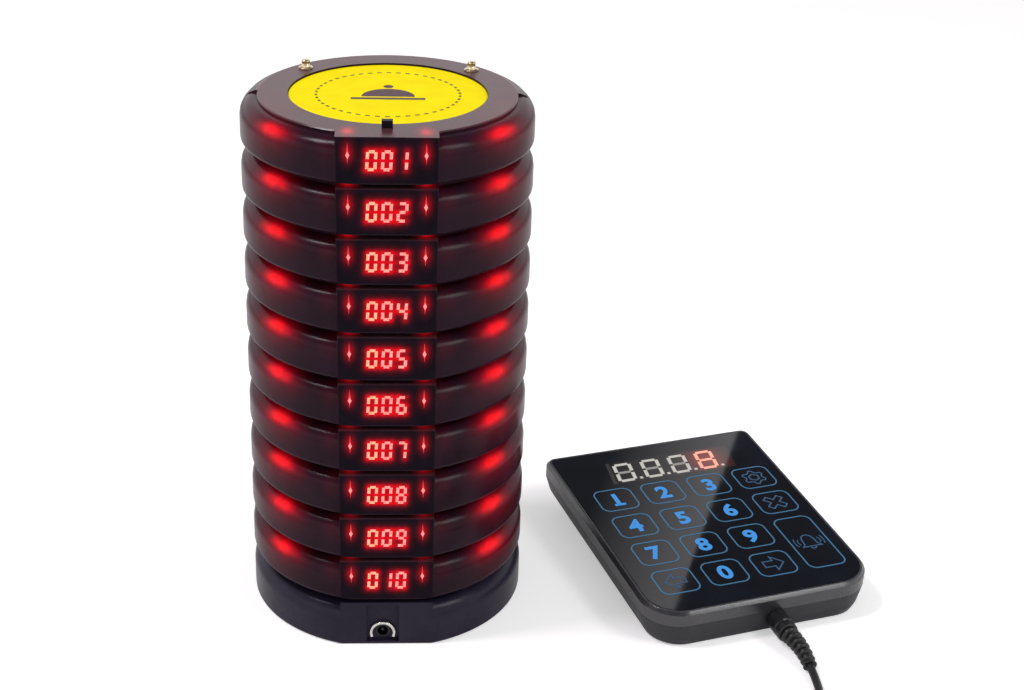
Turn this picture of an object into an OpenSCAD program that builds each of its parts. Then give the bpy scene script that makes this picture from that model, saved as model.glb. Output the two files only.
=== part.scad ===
// Guest pager system: a charging base with a stack of round pagers, and a keypad
// transmitter with its low-voltage lead.
// Millimetres, +Z up. The origin is on the table at the stack's axis, the pagers'
// numbers face -Y, and the keypad stands on the +X side.

/* [Stack] */
// Number of pagers standing on the base
pager_count = 10; // [2:1:10]
// Height from one pager's foot to the next one's
pager_pitch = 17.4; // [16.4:0.2:22]
// Height of the charging base
base_h = 17.5; // [16.5:0.5:26]

/* [Pager shell] */
// Outside diameter of a pager and of the base
pager_d = 100; // [98:1:112]
// Distance from the axis to the flat front face
front_y = 46.9; // [46:0.1:48]
// Wall thickness of the smoked cover
cover_wall = 1.8; // [1.4:0.1:2.4]
// Thickness of the cover's top plate
plate_wall = 2.4; // [2:0.1:3]
// Diameter of the raised top plate on the front side
plate_d = 88; // [86:0.5:90]
// Drop from the top plate to the front shoulder
shoulder_drop = 1.1; // [0.8:0.1:2]
// Width of the flat between the plate's edge and the shoulder's rounding
shoulder_flat = 0.2; // [0.1:0.1:2]
// Rounding of the lower rim
rim_r = 2; // [1:0.1:3]
// Rounding of the raised rear half's outer edge
rear_edge_r = 7.5; // [4:0.5:8]
// Width of the raised block over the number display
block_w = 33; // [30:0.5:34]
// Height of the foot that lifts the rim off the pager below
foot_h = 1.6; // [1:0.1:2.2]
// Diameter of the foot
foot_d = 86; // [80:0.5:87]
// Diameter of the hollow in the middle of the foot
foot_hollow_d = 60; // [40:1:64]
// Depth of the hollow in the middle of the foot
foot_hollow = 0.5; // [0.3:0.1:0.8]
// Thickness of the case floor
floor_t = 1.6; // [1.4:0.1:2]

/* [Pager label] */
// Diameter of the printed label
label_d = 67.2; // [50:0.2:68]
// Thickness of the label
label_t = 0.3; // [0.2:0.1:0.6]
// Depth of the label's recess in the top plate
label_recess = 1; // [0.7:0.1:1.2]

/* [Contact pins and key] */
// Diameter of a charging pin
pin_d = 2.9; // [2.4:0.1:3.4]
// Height of a pin above the top plate
pin_h = 3.2; // [2.6:0.1:3.4]
// Diameter of a pin's flange
pin_flange_d = 5; // [4.4:0.1:5.4]
// Thickness of a pin's flange
pin_flange_t = 0.6; // [0.4:0.1:0.8]
// Radius of the circle that the pins stand on
pin_ring_r = 39; // [38:0.2:39.5]
// Angle of the pins from the X axis
pin_angle = 42; // [34:1:50]
// Width of the stacking key
key_w = 3.6; // [2.6:0.1:4]
// Length of the stacking key, towards the label
key_l = 2.2; // [1.6:0.1:2.4]
// Height of the stacking key
key_h = 2.5; // [2:0.1:2.6]
// Distance of the stacking key from the flat front face
key_inset = 8.7; // [4:0.1:8.8]

/* [Pager electronics] */
// Height of the circuit board above the foot
board_z = 6; // [5.6:0.1:6.2]
// Thickness of every circuit board
board_t = 1.6; // [1.2:0.1:1.6]
// Diameter of the round circuit boards
board_d = 83; // [82:0.2:83]
// Width of the battery
battery_w = 36; // [24:1:40]
// Length of the battery
battery_l = 26; // [18:1:28]
// Thickness of the battery
battery_t = 5; // [3:0.1:5.4]
// Diameter of the vibration motor
motor_d = 10; // [8:0.5:12]
// Height of the vibration motor
motor_h = 3.2; // [2.4:0.1:4]
// Width of the three-digit display
digits_w = 17; // [15:0.5:20]
// Height of the three-digit display
digits_h = 9; // [8:0.5:9.5]
// Distance of each front light from the middle
front_light_x = 12.5; // [12:0.1:13.2]
// Angle of each side light from the front
side_light_angle = 51; // [46:1:70]

/* [Screws] */
// Thread diameter of the case screws
screw_d = 1.7; // [1.4:0.1:2]
// Head diameter of the case screws
screw_head_d = 4.4; // [3.6:0.1:4.8]
// Head height of the case screws
screw_head_h = 1.2; // [0.8:0.1:1.3]
// Diameter of the posts that the screws bite into
post_d = 5.6; // [5:0.1:6]
// Radius of the circle that the posts stand on
post_ring_r = 38; // [37:0.2:38.2]

/* [Base] */
// Sideways place of the power jack in the base
jack_x = -1.5; // [-6:0.1:6]
// Height of the power jack's axis
jack_z = 4.7; // [4.7:0.1:6]
// Diameter of the bright ring round the jack
jack_ring_d = 9.2; // [8.2:0.1:9.2]
// Width of the bright ring's band
jack_ring_band = 1; // [0.6:0.1:1.4]
// Angle that the bright ring wraps round the jack
jack_ring_wrap = 230; // [180:5:300]
// Width of the niche that the jack sits in
niche_w = 11.5; // [10:0.5:13]
// Depth of the niche
niche_depth = 1.6; // [1:0.1:1.8]
// Height of the sill under the niche
niche_sill = 0.8; // [0.6:0.1:1.2]
// Diameter of the non-slip pad under the base
pad_d = 68; // [50:1:70]
// Thickness of the non-slip pad
pad_t = 1.2; // [1:0.1:1.4]
// How far the pad stands proud of the base
pad_proud = 0.3; // [0.2:0.1:0.6]
// Rounding of the base's lower edge
base_rim_r = 0.6; // [0.4:0.1:1.5]

/* [Keypad] */
// Width of the keypad's top face
key_top_w = 89.2; // [87:0.2:94]
// Length of the keypad's top face
key_top_l = 109; // [108:0.5:116]
// Height of the top face at the near edge
key_front_h = 15.4; // [15:0.1:17]
// Slope of the top face, rising to the back
key_tilt = 3.2; // [3:0.1:4]
// Thickness of the keypad body
key_body_t = 15; // [14.6:0.1:15]
// Chamfer round the top face
key_chamfer = 1.3; // [0.8:0.1:1.6]
// Corner radius in plan at the near end
key_near_r = 13.5; // [12:0.5:15]
// Corner radius in plan at the far end
key_far_r = 3; // [2:0.5:5]
// How far the side walls lean in at the bottom
key_lean = 2.2; // [1.6:0.1:3.4]
// Depth of the joint between the bezel and the case
key_joint = 6; // [5.4:0.1:6.1]
// Wall thickness of the keypad case
key_wall = 2; // [1.6:0.1:2.2]
// Thickness of the glass
glass_t = 1.8; // [1.5:0.1:2]
// Width of the bezel's rim round the glass
glass_rim = 1; // [0.8:0.1:1.4]
// Width of the four-digit display
key_display_w = 50.4; // [46:0.2:54]
// Length of the four-digit display
key_display_l = 17; // [15:0.5:17]
// Distance from the outer columns of touch keys to the top face's sides
touch_side_gap = 14.45; // [14:0.05:18]
// Distance from the far row of touch keys to the display
touch_far_gap = 8.75; // [8:0.05:10]
// Diameter of a touch spring
touch_spring_d = 6; // [4:0.5:7]
// Sideways place of the power jack in the keypad
key_jack_x = 3.5; // [-10:0.5:10]
// Depth of the jack's axis below the top face
key_jack_depth = 9.2; // [9.1:0.1:9.4]
// Diameter of the keypad's rubber feet
key_foot_d = 8; // [6:0.5:9]

/* [Lead] */
// Diameter of the power lead
lead_d = 3; // [2.6:0.1:3.2]
// Diameter of the plug's moulded grip
grip_d = 8; // [7:0.1:8.2]
// Length of the plug's moulded grip
grip_l = 10; // [9:0.1:10]
// Outside diameter of the plug's metal barrel
barrel_d = 5.3; // [4.8:0.1:5.4]

/* [Hidden] */
$fn = 64;
cut = 1;              // run-out of a cut past a face
fit = 0.15;           // clearance between shells that seat in each other
seat = 0.05;          // gap under a piece that is soldered or glued down
run = 0.3;            // clearance round a contact pin and a key
thread_fit = 0.05;    // clearance between a screw and its post
arc_steps = 5;
arc_min_r = 0.3;      // least rounding of an inner edge
slice = 0.02;         // thickness of a plan that a hull joins to the next
plan_sides = 40;      // sides of a full circle in such a plan
sink = 0.2;           // depth that a post runs into what it stands on

// Pager: radii and levels
pager_r = pager_d / 2;
plate_r = plate_d / 2;
inner_r = pager_r - cover_wall;
plate_inner_r = plate_r - cover_wall;
shoulder_r = pager_r - plate_r - shoulder_flat;
hollow_r = max(shoulder_r - cover_wall, arc_min_r);
key_front_y = front_y - key_inset;
inner_front_y = front_y - cover_wall;
edge_chamfer = 0.4;
floor_z = foot_h + floor_t;
key_clear_z = key_h + run;
pin_x = pin_ring_r * cos(pin_angle);
pin_y = pin_ring_r * sin(pin_angle);
pin_low_z = pin_h + run / 2;
pin_boss_d = pin_d + 5;
pin_tip = 0.4;
flange_pocket = pin_flange_t + run;
// Edge of the raised rear half, where it meets the lower front half
rear_in_y = 1;
rear_out_y = 4.4;
post_angles = [90, 235, 305];
screw_grip = 6;
head_floor = 1.3;     // floor left above a screw head
display_board_t = 1.2;
display_board_gap = 0.4;
display_board_w = block_w - 2 * (cover_wall + display_board_gap);
display_board_h = 10;
display_back_y = 40;
display_mid_z = pager_pitch - 7.8;
light_w = 2;
front_light_rise = 1.3;
light_proud = 2.4;
side_light_w = 3.4;
side_light_h = 2;
side_light_r = 37.5;
chip_w = 8;
chip_t = 1.4;
part_gap = 2;

// Base
base_floor_t = 1.8;
base_floor_z = pad_proud + base_floor_t;
base_head_floor = 0.5;
base_board_z = 10.8;
niche_wall = 2;
niche_top = 0.8;      // cover left above the niche
jack_w = 9;
jack_l = 12;
jack_nose_d = 5;
jack_bore_d = 4;
jack_tip_d = 1.2;
jack_back = 1;        // wall behind a jack's bore
jack_ring_proud = niche_depth;
jack_front_y = front_y - niche_depth;
jack_back_y = jack_front_y - niche_wall;
base_post_d = 6;

// Keypad
key_place = [138.6, -40.7];
key_heading = 17;
key_out = 1.2;        // how far the chamfer spreads past the top face
glass_gap = 0.2;
key_toe = 2.6;        // height of the slant along the bottom edge
key_near_bulge = 0.8;
key_near_lean = 0.2;
ledge_w = 5;
key_floor = key_body_t - key_wall;
key_head_z = 1.8 - key_body_t;
key_board_rise = 1.3;
key_board_top = key_floor - key_board_rise - board_t;
key_board_margin = 5.7;
key_rest_x = 24;
key_rest_inset = 8;
key_board_y0 = 14;
key_board_y1 = key_top_l - 10;
key_display_x = 1.6;
key_display_y = key_top_l - 17.8;
touch_rows = 4;
touch_cols = 4;
touch_x0 = 1.6;
touch_y0 = 18;
touch_pitch_x = (key_top_w - 2 * touch_side_gap) / (touch_cols - 1);
touch_pitch_y = (key_display_y - key_display_l / 2 - touch_far_gap - touch_y0)
    / (touch_rows - 1);
key_screw_inset = 6.6;
key_screw_x = key_top_w / 2 - key_screw_inset;
key_screw_y0 = 10.5;
key_screw_y1 = key_top_l - key_screw_inset;
key_post_d = 5.2;
key_boss_h = 1.5;
key_jack_w = 9;
key_jack_y0 = ledge_w + fit;
key_jack_l = key_board_y0 - key_jack_y0;
key_jack_bore_d = barrel_d + 0.2;
key_tip_d = 1.8;
key_foot_x = key_top_w / 2 - 15.6;
key_foot_y0 = 15;
key_foot_y1 = key_top_l - 13;
key_foot_seat = 2.2;
hump_y0 = key_top_l - 32;
hump_y1 = key_top_l - 3;
hump_z = 0.6;
hump_foot_y0 = key_top_l - 21;
hump_inset = 3;
hump_slab = 0.5;

// Lead
relief_route = [
    [145.1, -50, 5.6], [146.7, -53.8, 5.3], [148.2, -57.7, 4.7],
    [149.3, -61.8, 3.8], [150, -66, 2.8]
];
barrel_l = 11;
relief_r0 = 3.3;
relief_r1 = 2.1;
lead_route = [
    [150, -66, 2.8], [150.5, -69.5, 2.1], [150.8, -73.5, 1.6], [150.8, -78, 1.5],
    [150.5, -84, 1.5], [150.2, -91, 1.5], [150, -100, 1.5]
];
tail_route = [[121, -130.6, 4.5], [117, -131, 4.3], [113, -131, 4.1], [109, -131, 4]];
coil_place = [129, -110];
coil_turns_wide = 5;
coil_turns_high = 2;
coil_outer_turn_r = 21;
usb_grip = [26, 16, 8];
usb_shell = [18, 12, 4.5];
usb_wall = 0.4;
usb_tongue = [14, 9, 1.6];
usb_back = 1;

function two(n) = n < 10 ? str("0", n) : str(n);
function pager_node(i, piece) = str("pager_", two(i), "_", piece);
function pager_foot_z(i) = base_h + (pager_count - i) * pager_pitch;

// ---- Shared shapes ----

// Points of an arc in a profile
function arc(c, r, a0, a1) = [
    for (i = [0:arc_steps])
        let (a = a0 + (a1 - a0) * i / arc_steps) [c[0] + r * cos(a), c[1] + r * sin(a)]
];

// Profile of the front half: a low shoulder, then the raised plate
module front_profile(z0, top, rim) {
    shoulder = top - shoulder_drop;
    polygon(concat(
        [[0, z0]],
        arc([pager_r - rim, z0 + rim], rim, -90, 0),
        arc([pager_r - shoulder_r, shoulder - shoulder_r], shoulder_r, 0, 90),
        [[plate_r, shoulder], [plate_r, top - edge_chamfer],
         [plate_r - edge_chamfer, top], [0, top]]
    ));
}

// Profile of the rear half, which is level with the plate out to its rounded edge
module rear_profile(z0, top, rim) {
    polygon(concat(
        [[0, z0]],
        arc([pager_r - rim, z0 + rim], rim, -90, 0),
        arc([pager_r - rear_edge_r, top - rear_edge_r], rear_edge_r, 0, 90),
        [[0, top]]
    ));
}

// Plan of the rear half
module rear_plan() {
    far = pager_r + cut;
    polygon([[-plate_r, rear_in_y], [-far, rear_out_y], [-far, far], [far, far],
             [far, rear_out_y], [plate_r, rear_in_y]]);
}

// Outer form that the pagers and the base share
module shell_form(z0, top, rim) {
    difference() {
        union() {
            rotate_extrude() front_profile(z0, top, rim);
            intersection() {
                rotate_extrude() rear_profile(z0, top, rim);
                translate([0, 0, z0]) linear_extrude(top - z0) rear_plan();
            }
            translate([-block_w / 2, -front_y, z0 + rim])
                cube([block_w, front_y - plate_r + block_w / 2, top - z0 - rim]);
            translate([-key_w / 2, -key_front_y, top - cut])
                cube([key_w, key_l, key_h + cut]);
        }
        translate([-pager_r, -front_y - pager_r, z0 - cut])
            cube([pager_d, pager_r, top - z0 + key_h + 2 * cut]);
    }
}

// Space inside a shell, open at the bottom
module shell_hollow(z0, top) {
    under = top - shoulder_drop - cover_wall;
    difference() {
        union() {
            rotate_extrude() polygon(concat(
                [[0, z0 - cut], [inner_r, z0 - cut]],
                arc([inner_r - hollow_r, under - hollow_r], hollow_r, 0, 90),
                [[0, under]]
            ));
            translate([0, 0, z0]) cylinder(h = top - plate_wall - z0, r = plate_inner_r);
            translate([-block_w / 2 + cover_wall, -inner_front_y, z0])
                cube([block_w - 2 * cover_wall, inner_front_y / 2, top - plate_wall - z0]);
        }
        translate([-pager_r, -inner_front_y - pager_r, z0 - 2 * cut])
            cube([pager_d, pager_r, top - z0 + 3 * cut]);
    }
}

// Floor disc that closes a shell, with the same flat front
module floor_disc(z0, t) {
    difference() {
        translate([0, 0, z0]) cylinder(h = t, r = inner_r - fit);
        translate([-pager_r, -inner_front_y + fit - pager_r, z0 - cut])
            cube([pager_d, pager_r, t + 2 * cut]);
    }
}

module at_pins() {
    for (side = [-1, 1]) translate([side * pin_x, pin_y, 0]) children();
}

module at_posts() {
    for (a = post_angles) rotate([0, 0, a]) translate([post_ring_r, 0, 0]) children();
}

module post_holes(z0, z1, d) {
    at_posts() translate([0, 0, z0]) cylinder(h = z1 - z0, d = d);
}

// Contact pin with its flange on the plate
module contact_pin(low, top) {
    translate([0, 0, low]) cylinder(h = top + pin_h - pin_tip - low, d = pin_d);
    translate([0, 0, top + pin_h - pin_tip])
        cylinder(h = pin_tip, d1 = pin_d, d2 = pin_d - 2 * pin_tip);
    translate([0, 0, top]) cylinder(h = pin_flange_t, d = pin_flange_d);
}

// Round circuit board with the notches for the posts and holes for the pins
module round_board(z, front) {
    difference() {
        translate([0, 0, z]) cylinder(h = board_t, d = board_d);
        translate([-pager_r, -front - pager_r, z - cut])
            cube([pager_d, pager_r, board_t + 2 * cut]);
        post_holes(z - cut, z + board_t + cut, post_d + 2 * run);
        at_pins() translate([0, 0, z - cut])
            cylinder(h = board_t + 2 * cut, d = pin_d + fit);
    }
}

module case_screw(head_z) {
    translate([0, 0, head_z]) cylinder(h = screw_head_h, d = screw_head_d);
    translate([0, 0, head_z + screw_head_h - fit / 2])
        cylinder(h = head_floor + screw_grip, d = screw_d);
}

// ---- Pager ----

module at_pager(i) {
    translate([0, 0, pager_foot_z(i)]) children();
}

// Clearance that the stacking key of the pager below needs
module key_space() {
    translate([-key_w / 2 - run, -key_front_y - run, -cut])
        cube([key_w + 2 * run, key_l + 2 * run, key_clear_z + cut]);
}

module pager_case() {
    color([0.12, 0.1, 0.13]) difference() {
        union() {
            cylinder(h = foot_h, d = foot_d);
            floor_disc(foot_h, floor_t);
            at_pins() cylinder(h = board_z, d = pin_boss_d);
            translate([0, -display_back_y + post_d, 0]) cylinder(h = board_z, d = post_d);
        }
        translate([0, 0, -cut]) cylinder(h = foot_hollow + cut, d = foot_hollow_d);
        at_pins() translate([0, 0, -cut])
            cylinder(h = flange_pocket + cut, d = pin_flange_d + 2 * run);
        at_pins() translate([0, 0, -cut]) cylinder(h = board_z + 2 * cut, d = pin_d + 2 * run);
        post_holes(-cut, floor_z - head_floor, screw_head_d + 2 * run);
        post_holes(-cut, floor_z + cut, screw_d + 2 * fit);
        key_space();
    }
}

module pager_cover() {
    color([0.17, 0.13, 0.18]) difference() {
        union() {
            difference() {
                shell_form(foot_h, pager_pitch, rim_r);
                shell_hollow(foot_h, pager_pitch);
            }
            post_holes(floor_z, pager_pitch - plate_wall + cut / 2, post_d);
        }
        post_holes(floor_z - cut, floor_z + screw_grip + cut, screw_d + 2 * thread_fit);
        translate([0, 0, pager_pitch - label_recess])
            cylinder(h = label_recess + cut, d = label_d + 2 * fit);
        at_pins() translate([0, 0, pager_pitch - plate_wall - cut])
            cylinder(h = plate_wall + 2 * cut, d = pin_d + 2 * fit);
    }
}

module pager_label() {
    color([0.98, 0.9, 0.1])
        translate([0, 0, pager_pitch - label_recess]) cylinder(h = label_t, d = label_d);
}

// Light on the board that shines through the side of the cover
module side_light(side) {
    rotate([0, 0, -90 + side * side_light_angle])
        translate([side_light_r - side_light_w / 2, -side_light_w / 2, board_z + board_t + seat])
            cube([side_light_w, side_light_w, side_light_h]);
}

module display_board() {
    translate([-display_board_w / 2, -display_back_y - display_board_t - seat,
               display_mid_z - display_board_h / 2])
        cube([display_board_w, display_board_t, display_board_h]);
}

module number_display() {
    back = display_back_y + display_board_t + 2 * seat;
    front = inner_front_y - fit;
    translate([-digits_w / 2, -front, display_mid_z - digits_h / 2])
        cube([digits_w, front - back, digits_h]);
    for (side = [-1, 1])
        translate([side * front_light_x - light_w / 2, -back - light_proud,
                   display_mid_z + front_light_rise - light_w / 2])
            cube([light_w, light_proud, light_w]);
}

module pager_internals() {
    top = board_z + board_t + seat;
    color([0.1, 0.42, 0.25]) round_board(board_z, display_back_y);
    color([0.1, 0.42, 0.25]) display_board();
    color([0.85, 0.2, 0.15]) number_display();
    color([0.85, 0.2, 0.15]) for (side = [-1, 1]) side_light(side);
    color([0.75, 0.76, 0.78]) translate([-battery_w / 2, -battery_l / 2, top])
        cube([battery_w, battery_l, battery_t]);
    color([0.7, 0.7, 0.72]) translate([battery_w / 2 + motor_d / 2 + part_gap, 0, top])
        cylinder(h = motor_h, d = motor_d);
    color([0.08, 0.08, 0.09]) translate([-battery_w / 2 - chip_w - part_gap, -chip_w / 2, top])
        cube([chip_w, chip_w, chip_t]);
    color([0.85, 0.68, 0.3]) at_pins() contact_pin(pin_low_z, pager_pitch);
    color([0.6, 0.6, 0.62]) at_posts() case_screw(floor_z - head_floor - screw_head_h);
}

// ---- Charging base ----

module base_case() {
    color([0.17, 0.13, 0.18]) difference() {
        union() {
            difference() {
                shell_form(pad_proud, base_h, base_rim_r);
                shell_hollow(pad_proud, base_h);
            }
            translate([jack_x - niche_w / 2 - cover_wall, -inner_front_y - fit, pad_proud])
                cube([niche_w + 2 * cover_wall, inner_front_y + fit - jack_back_y,
                      base_h - plate_wall / 2 - pad_proud]);
            post_holes(base_floor_z, base_h - plate_wall + cut / 2, post_d);
        }
        translate([jack_x - niche_w / 2, -front_y - cut, pad_proud + niche_sill])
            cube([niche_w, niche_depth + cut, base_h - niche_top - niche_sill - pad_proud]);
        translate([jack_x, 0, jack_z]) rotate([90, 0, 0])
            cylinder(h = pager_r, d = jack_nose_d + 2 * fit);
        post_holes(base_floor_z - cut, base_floor_z + screw_grip + cut, screw_d + 2 * thread_fit);
        at_pins() translate([0, 0, base_h - plate_wall - cut])
            cylinder(h = plate_wall + 2 * cut, d = pin_d + 2 * fit);
    }
}

module base_bottom() {
    color([0.1, 0.1, 0.11]) difference() {
        union() {
            floor_disc(pad_proud, base_floor_t);
            at_pins() translate([0, 0, pad_proud])
                cylinder(h = base_board_z - pad_proud, d = base_post_d);
        }
        translate([0, 0, -cut]) cylinder(h = pad_t + cut, d = pad_d + 2 * fit);
        post_holes(-cut, base_floor_z - base_head_floor, screw_head_d + 2 * run);
        post_holes(-cut, base_floor_z + cut, screw_d + 2 * fit);
        // room for the niche's wall
        translate([jack_x - niche_w / 2 - cover_wall - fit, -pager_r, -cut])
            cube([niche_w + 2 * cover_wall + 2 * fit, pager_r - jack_back_y + seat,
                  base_floor_z + 2 * cut]);
    }
}

module base_pins() {
    color([0.85, 0.68, 0.3]) at_pins() contact_pin(base_board_z, base_h);
}

module base_board() {
    color([0.1, 0.42, 0.25]) round_board(base_board_z, display_back_y);
}

module base_dc_jack() {
    color([0.06, 0.06, 0.07]) translate([jack_x, 0, 0]) difference() {
        union() {
            translate([-jack_w / 2, -jack_back_y + seat, base_floor_z])
                cube([jack_w, jack_l, 2 * (jack_z - base_floor_z)]);
            translate([0, -jack_front_y, jack_z]) rotate([-90, 0, 0])
                cylinder(h = niche_wall + cut, d = jack_nose_d);
        }
        translate([0, -jack_front_y - cut, jack_z]) rotate([-90, 0, 0])
            cylinder(h = jack_l - jack_back, d = jack_bore_d);
    }
    color([0.8, 0.8, 0.82]) translate([jack_x, -jack_front_y + cut, jack_z])
        rotate([-90, 0, 0]) cylinder(h = jack_l - jack_back - 2 * cut, d = jack_tip_d);
}

module base_jack_ring() {
    color([0.85, 0.85, 0.83]) translate([jack_x, -jack_front_y, jack_z]) rotate([90, 0, 0])
        rotate([0, 0, 90 - jack_ring_wrap / 2]) rotate_extrude(angle = jack_ring_wrap)
            translate([jack_ring_d / 2 - jack_ring_band, 0])
                square([jack_ring_band, jack_ring_proud]);
}

module base_foot_pad() {
    color([0.07, 0.07, 0.07]) cylinder(h = pad_t, d = pad_d);
}

module base_screws() {
    color([0.6, 0.6, 0.62])
        at_posts() case_screw(base_floor_z - base_head_floor - screw_head_h);
}

// ---- Keypad ----

module on_table() {
    translate([key_place[0], key_place[1], 0]) rotate([0, 0, key_heading]) children();
}

// Frame of the sloping top face: its near edge is the X axis, +Y runs back, z is 0 there
module on_slope() {
    on_table() translate([0, 0, key_front_h]) rotate([key_tilt, 0, 0]) children();
}

// Plan of the body: grow widens it all round, side and near add to that
module body_plan(grow, side = 0, near = 0) {
    half = key_top_w / 2 + grow + side;
    y0 = -grow - near;
    y1 = key_top_l + grow + side;
    rn = key_near_r + grow;
    rf = max(key_far_r + grow, 0.5);
    for (s = [-1, 1]) {
        translate([s * (half - rn), y0 + rn]) circle(r = rn);
        translate([s * (half - rf), y1 - rf]) circle(r = rf);
    }
    translate([-half + rn, y0]) square([2 * (half - rn), y1 - y0 - rf]);
    translate([-half, y0 + rn]) square([2 * half, y1 - y0 - rn - rf]);
    translate([-half + rf, y1 - 2 * rf]) square([2 * (half - rf), 2 * rf]);
}

module plan_slice(depth, grow, side = 0, near = 0) {
    translate([0, 0, -depth - slice / 2]) linear_extrude(slice)
        body_plan(grow, side, near, $fn = plan_sides);
}

module bezel_form() {
    hull() {
        plan_slice(slice / 2, 0);
        plan_slice(key_chamfer, key_out);
        plan_slice(key_joint - slice / 2, key_out);
    }
}

// Hump under the raised back end, which carries it on the table
module case_hump() {
    half = key_top_w / 2 - key_lean - hump_inset;
    hull() {
        on_slope() translate([-half, hump_y0, -key_floor - hump_slab])
            cube([2 * half, hump_y1 - hump_y0, hump_slab]);
        on_table() translate([-half + 1, hump_foot_y0, hump_z])
            cube([2 * half - 2, hump_y1 - hump_inset - hump_foot_y0, hump_slab]);
    }
}

module case_form() {
    tuck = key_toe / 2;
    on_slope() hull() {
        plan_slice(key_joint + slice, key_out);
        plan_slice(key_body_t - key_toe, 0, -key_lean / 3, key_near_bulge);
        plan_slice(key_body_t - slice / 2, -tuck, tuck - key_lean, tuck - key_near_lean);
    }
    case_hump();
}

module at_key_screws() {
    for (x = [-key_screw_x, key_screw_x], y = [key_screw_y0, key_screw_y1])
        translate([x, y, 0]) children();
}

module at_key_feet() {
    on_table() for (x = [-key_foot_x, key_foot_x], y = [key_foot_y0, key_foot_y1])
        translate([x, y, 0]) children();
}

module keypad_case() {
    color([0.1, 0.1, 0.11]) difference() {
        union() {
            difference() {
                case_form();
                on_slope() translate([0, 0, -key_floor])
                    linear_extrude(key_body_t) body_plan(-key_wall, -key_lean / 2);
            }
            on_slope() at_key_screws() translate([0, 0, -key_floor - sink])
                cylinder(h = key_boss_h + sink, d = key_post_d + 1);
            on_slope() for (x = [-key_rest_x, key_rest_x],
                            y = [key_board_y0 + key_rest_inset, key_board_y1 - key_rest_inset])
                translate([x, y, -key_floor - sink])
                    cylinder(h = key_board_rise + sink, d = key_post_d);
        }
        on_slope() at_key_screws() {
            translate([0, 0, -3 * key_body_t])
                cylinder(h = 3 * key_body_t + key_head_z, d = screw_head_d + 2 * run);
            translate([0, 0, -key_body_t])
                cylinder(h = key_body_t, d = screw_d + 2 * fit);
        }
        at_key_feet() translate([0, 0, -cut])
            cylinder(h = key_foot_seat + cut, d = key_foot_d + 2 * fit);
        on_slope() translate([key_jack_x, -2 * key_wall, -key_jack_depth])
            rotate([-90, 0, 0]) cylinder(h = 4 * key_wall, d = barrel_d + 2 * run);
    }
}

module keypad_bezel() {
    color([0.13, 0.13, 0.14]) on_slope() difference() {
        union() {
            difference() {
                bezel_form();
                translate([0, 0, -key_body_t]) linear_extrude(key_body_t + cut)
                    body_plan(-ledge_w);
            }
            at_key_screws() translate([0, 0, -key_floor + key_boss_h])
                cylinder(h = key_floor - key_boss_h - glass_t, d = key_post_d);
        }
        translate([0, 0, -glass_t]) linear_extrude(glass_t + cut)
            body_plan(-glass_rim + glass_gap);
        at_key_screws() translate([0, 0, -key_floor])
            cylinder(h = key_boss_h + screw_grip, d = screw_d + 2 * thread_fit);
    }
}

module keypad_glass() {
    color([0.02, 0.02, 0.03]) on_slope() translate([0, 0, -glass_t])
        linear_extrude(glass_t) body_plan(-glass_rim);
}

module touch_springs() {
    middle = (touch_cols - 1) / 2;
    for (col = [0:touch_cols - 1], row = [0:touch_rows - 1])
        if (!(col == touch_cols - 1 && row == 0))
            translate([touch_x0 + (col - middle) * touch_pitch_x,
                       touch_y0 + row * touch_pitch_y, -key_board_top + seat])
                cylinder(h = key_board_top - glass_t - 2 * seat, d = touch_spring_d);
}

module keypad_board() {
    half = key_top_w / 2 - key_board_margin;
    color([0.1, 0.42, 0.25]) on_slope()
        translate([-half, key_board_y0, -key_board_top - board_t])
            cube([2 * half, key_board_y1 - key_board_y0, board_t]);
    color([0.7, 0.7, 0.72]) on_slope() touch_springs();
}

module keypad_display() {
    color([0.5, 0.5, 0.52]) on_slope()
        translate([key_display_x - key_display_w / 2, key_display_y - key_display_l / 2,
                   -key_board_top])
            cube([key_display_w, key_display_l, key_board_top - glass_t - 2 * seat]);
}

module keypad_dc_jack() {
    half_h = key_floor - key_jack_depth;
    color([0.06, 0.06, 0.07]) on_slope() translate([key_jack_x, key_jack_y0, -key_jack_depth])
        difference() {
            translate([-key_jack_w / 2, 0, -half_h])
                cube([key_jack_w, key_jack_l, 2 * half_h]);
            translate([0, -cut, 0]) rotate([-90, 0, 0])
                cylinder(h = key_jack_l - jack_back + cut, d = key_jack_bore_d);
        }
    color([0.8, 0.8, 0.82]) on_slope()
        translate([key_jack_x, key_jack_y0 + cut, -key_jack_depth]) rotate([-90, 0, 0])
            cylinder(h = key_jack_l - jack_back - cut, d = key_tip_d);
}

module keypad_feet() {
    color([0.07, 0.07, 0.07]) at_key_feet() cylinder(h = key_foot_seat, d = key_foot_d);
}

module keypad_screws() {
    color([0.6, 0.6, 0.62]) on_slope() at_key_screws() {
        translate([0, 0, key_head_z - screw_head_h]) cylinder(h = screw_head_h, d = screw_head_d);
        translate([0, 0, key_head_z - fit / 2]) cylinder(h = screw_grip, d = screw_d);
    }
}

// ---- Lead ----

function unit(v) = v / norm(v);
function heading(p, i) = unit(p[min(i + 1, len(p) - 1)] - p[max(i - 1, 0)]);
// Ring of points round the route's point i
function ring(p, i, r, sides) =
    let (t = heading(p, i), s = unit(cross(t, [0, 0, 1])), u = cross(s, t))
    [for (k = [0:sides - 1])
        let (a = 360 * k / sides) p[i] + r * cos(a) * s + r * sin(a) * u];

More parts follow.
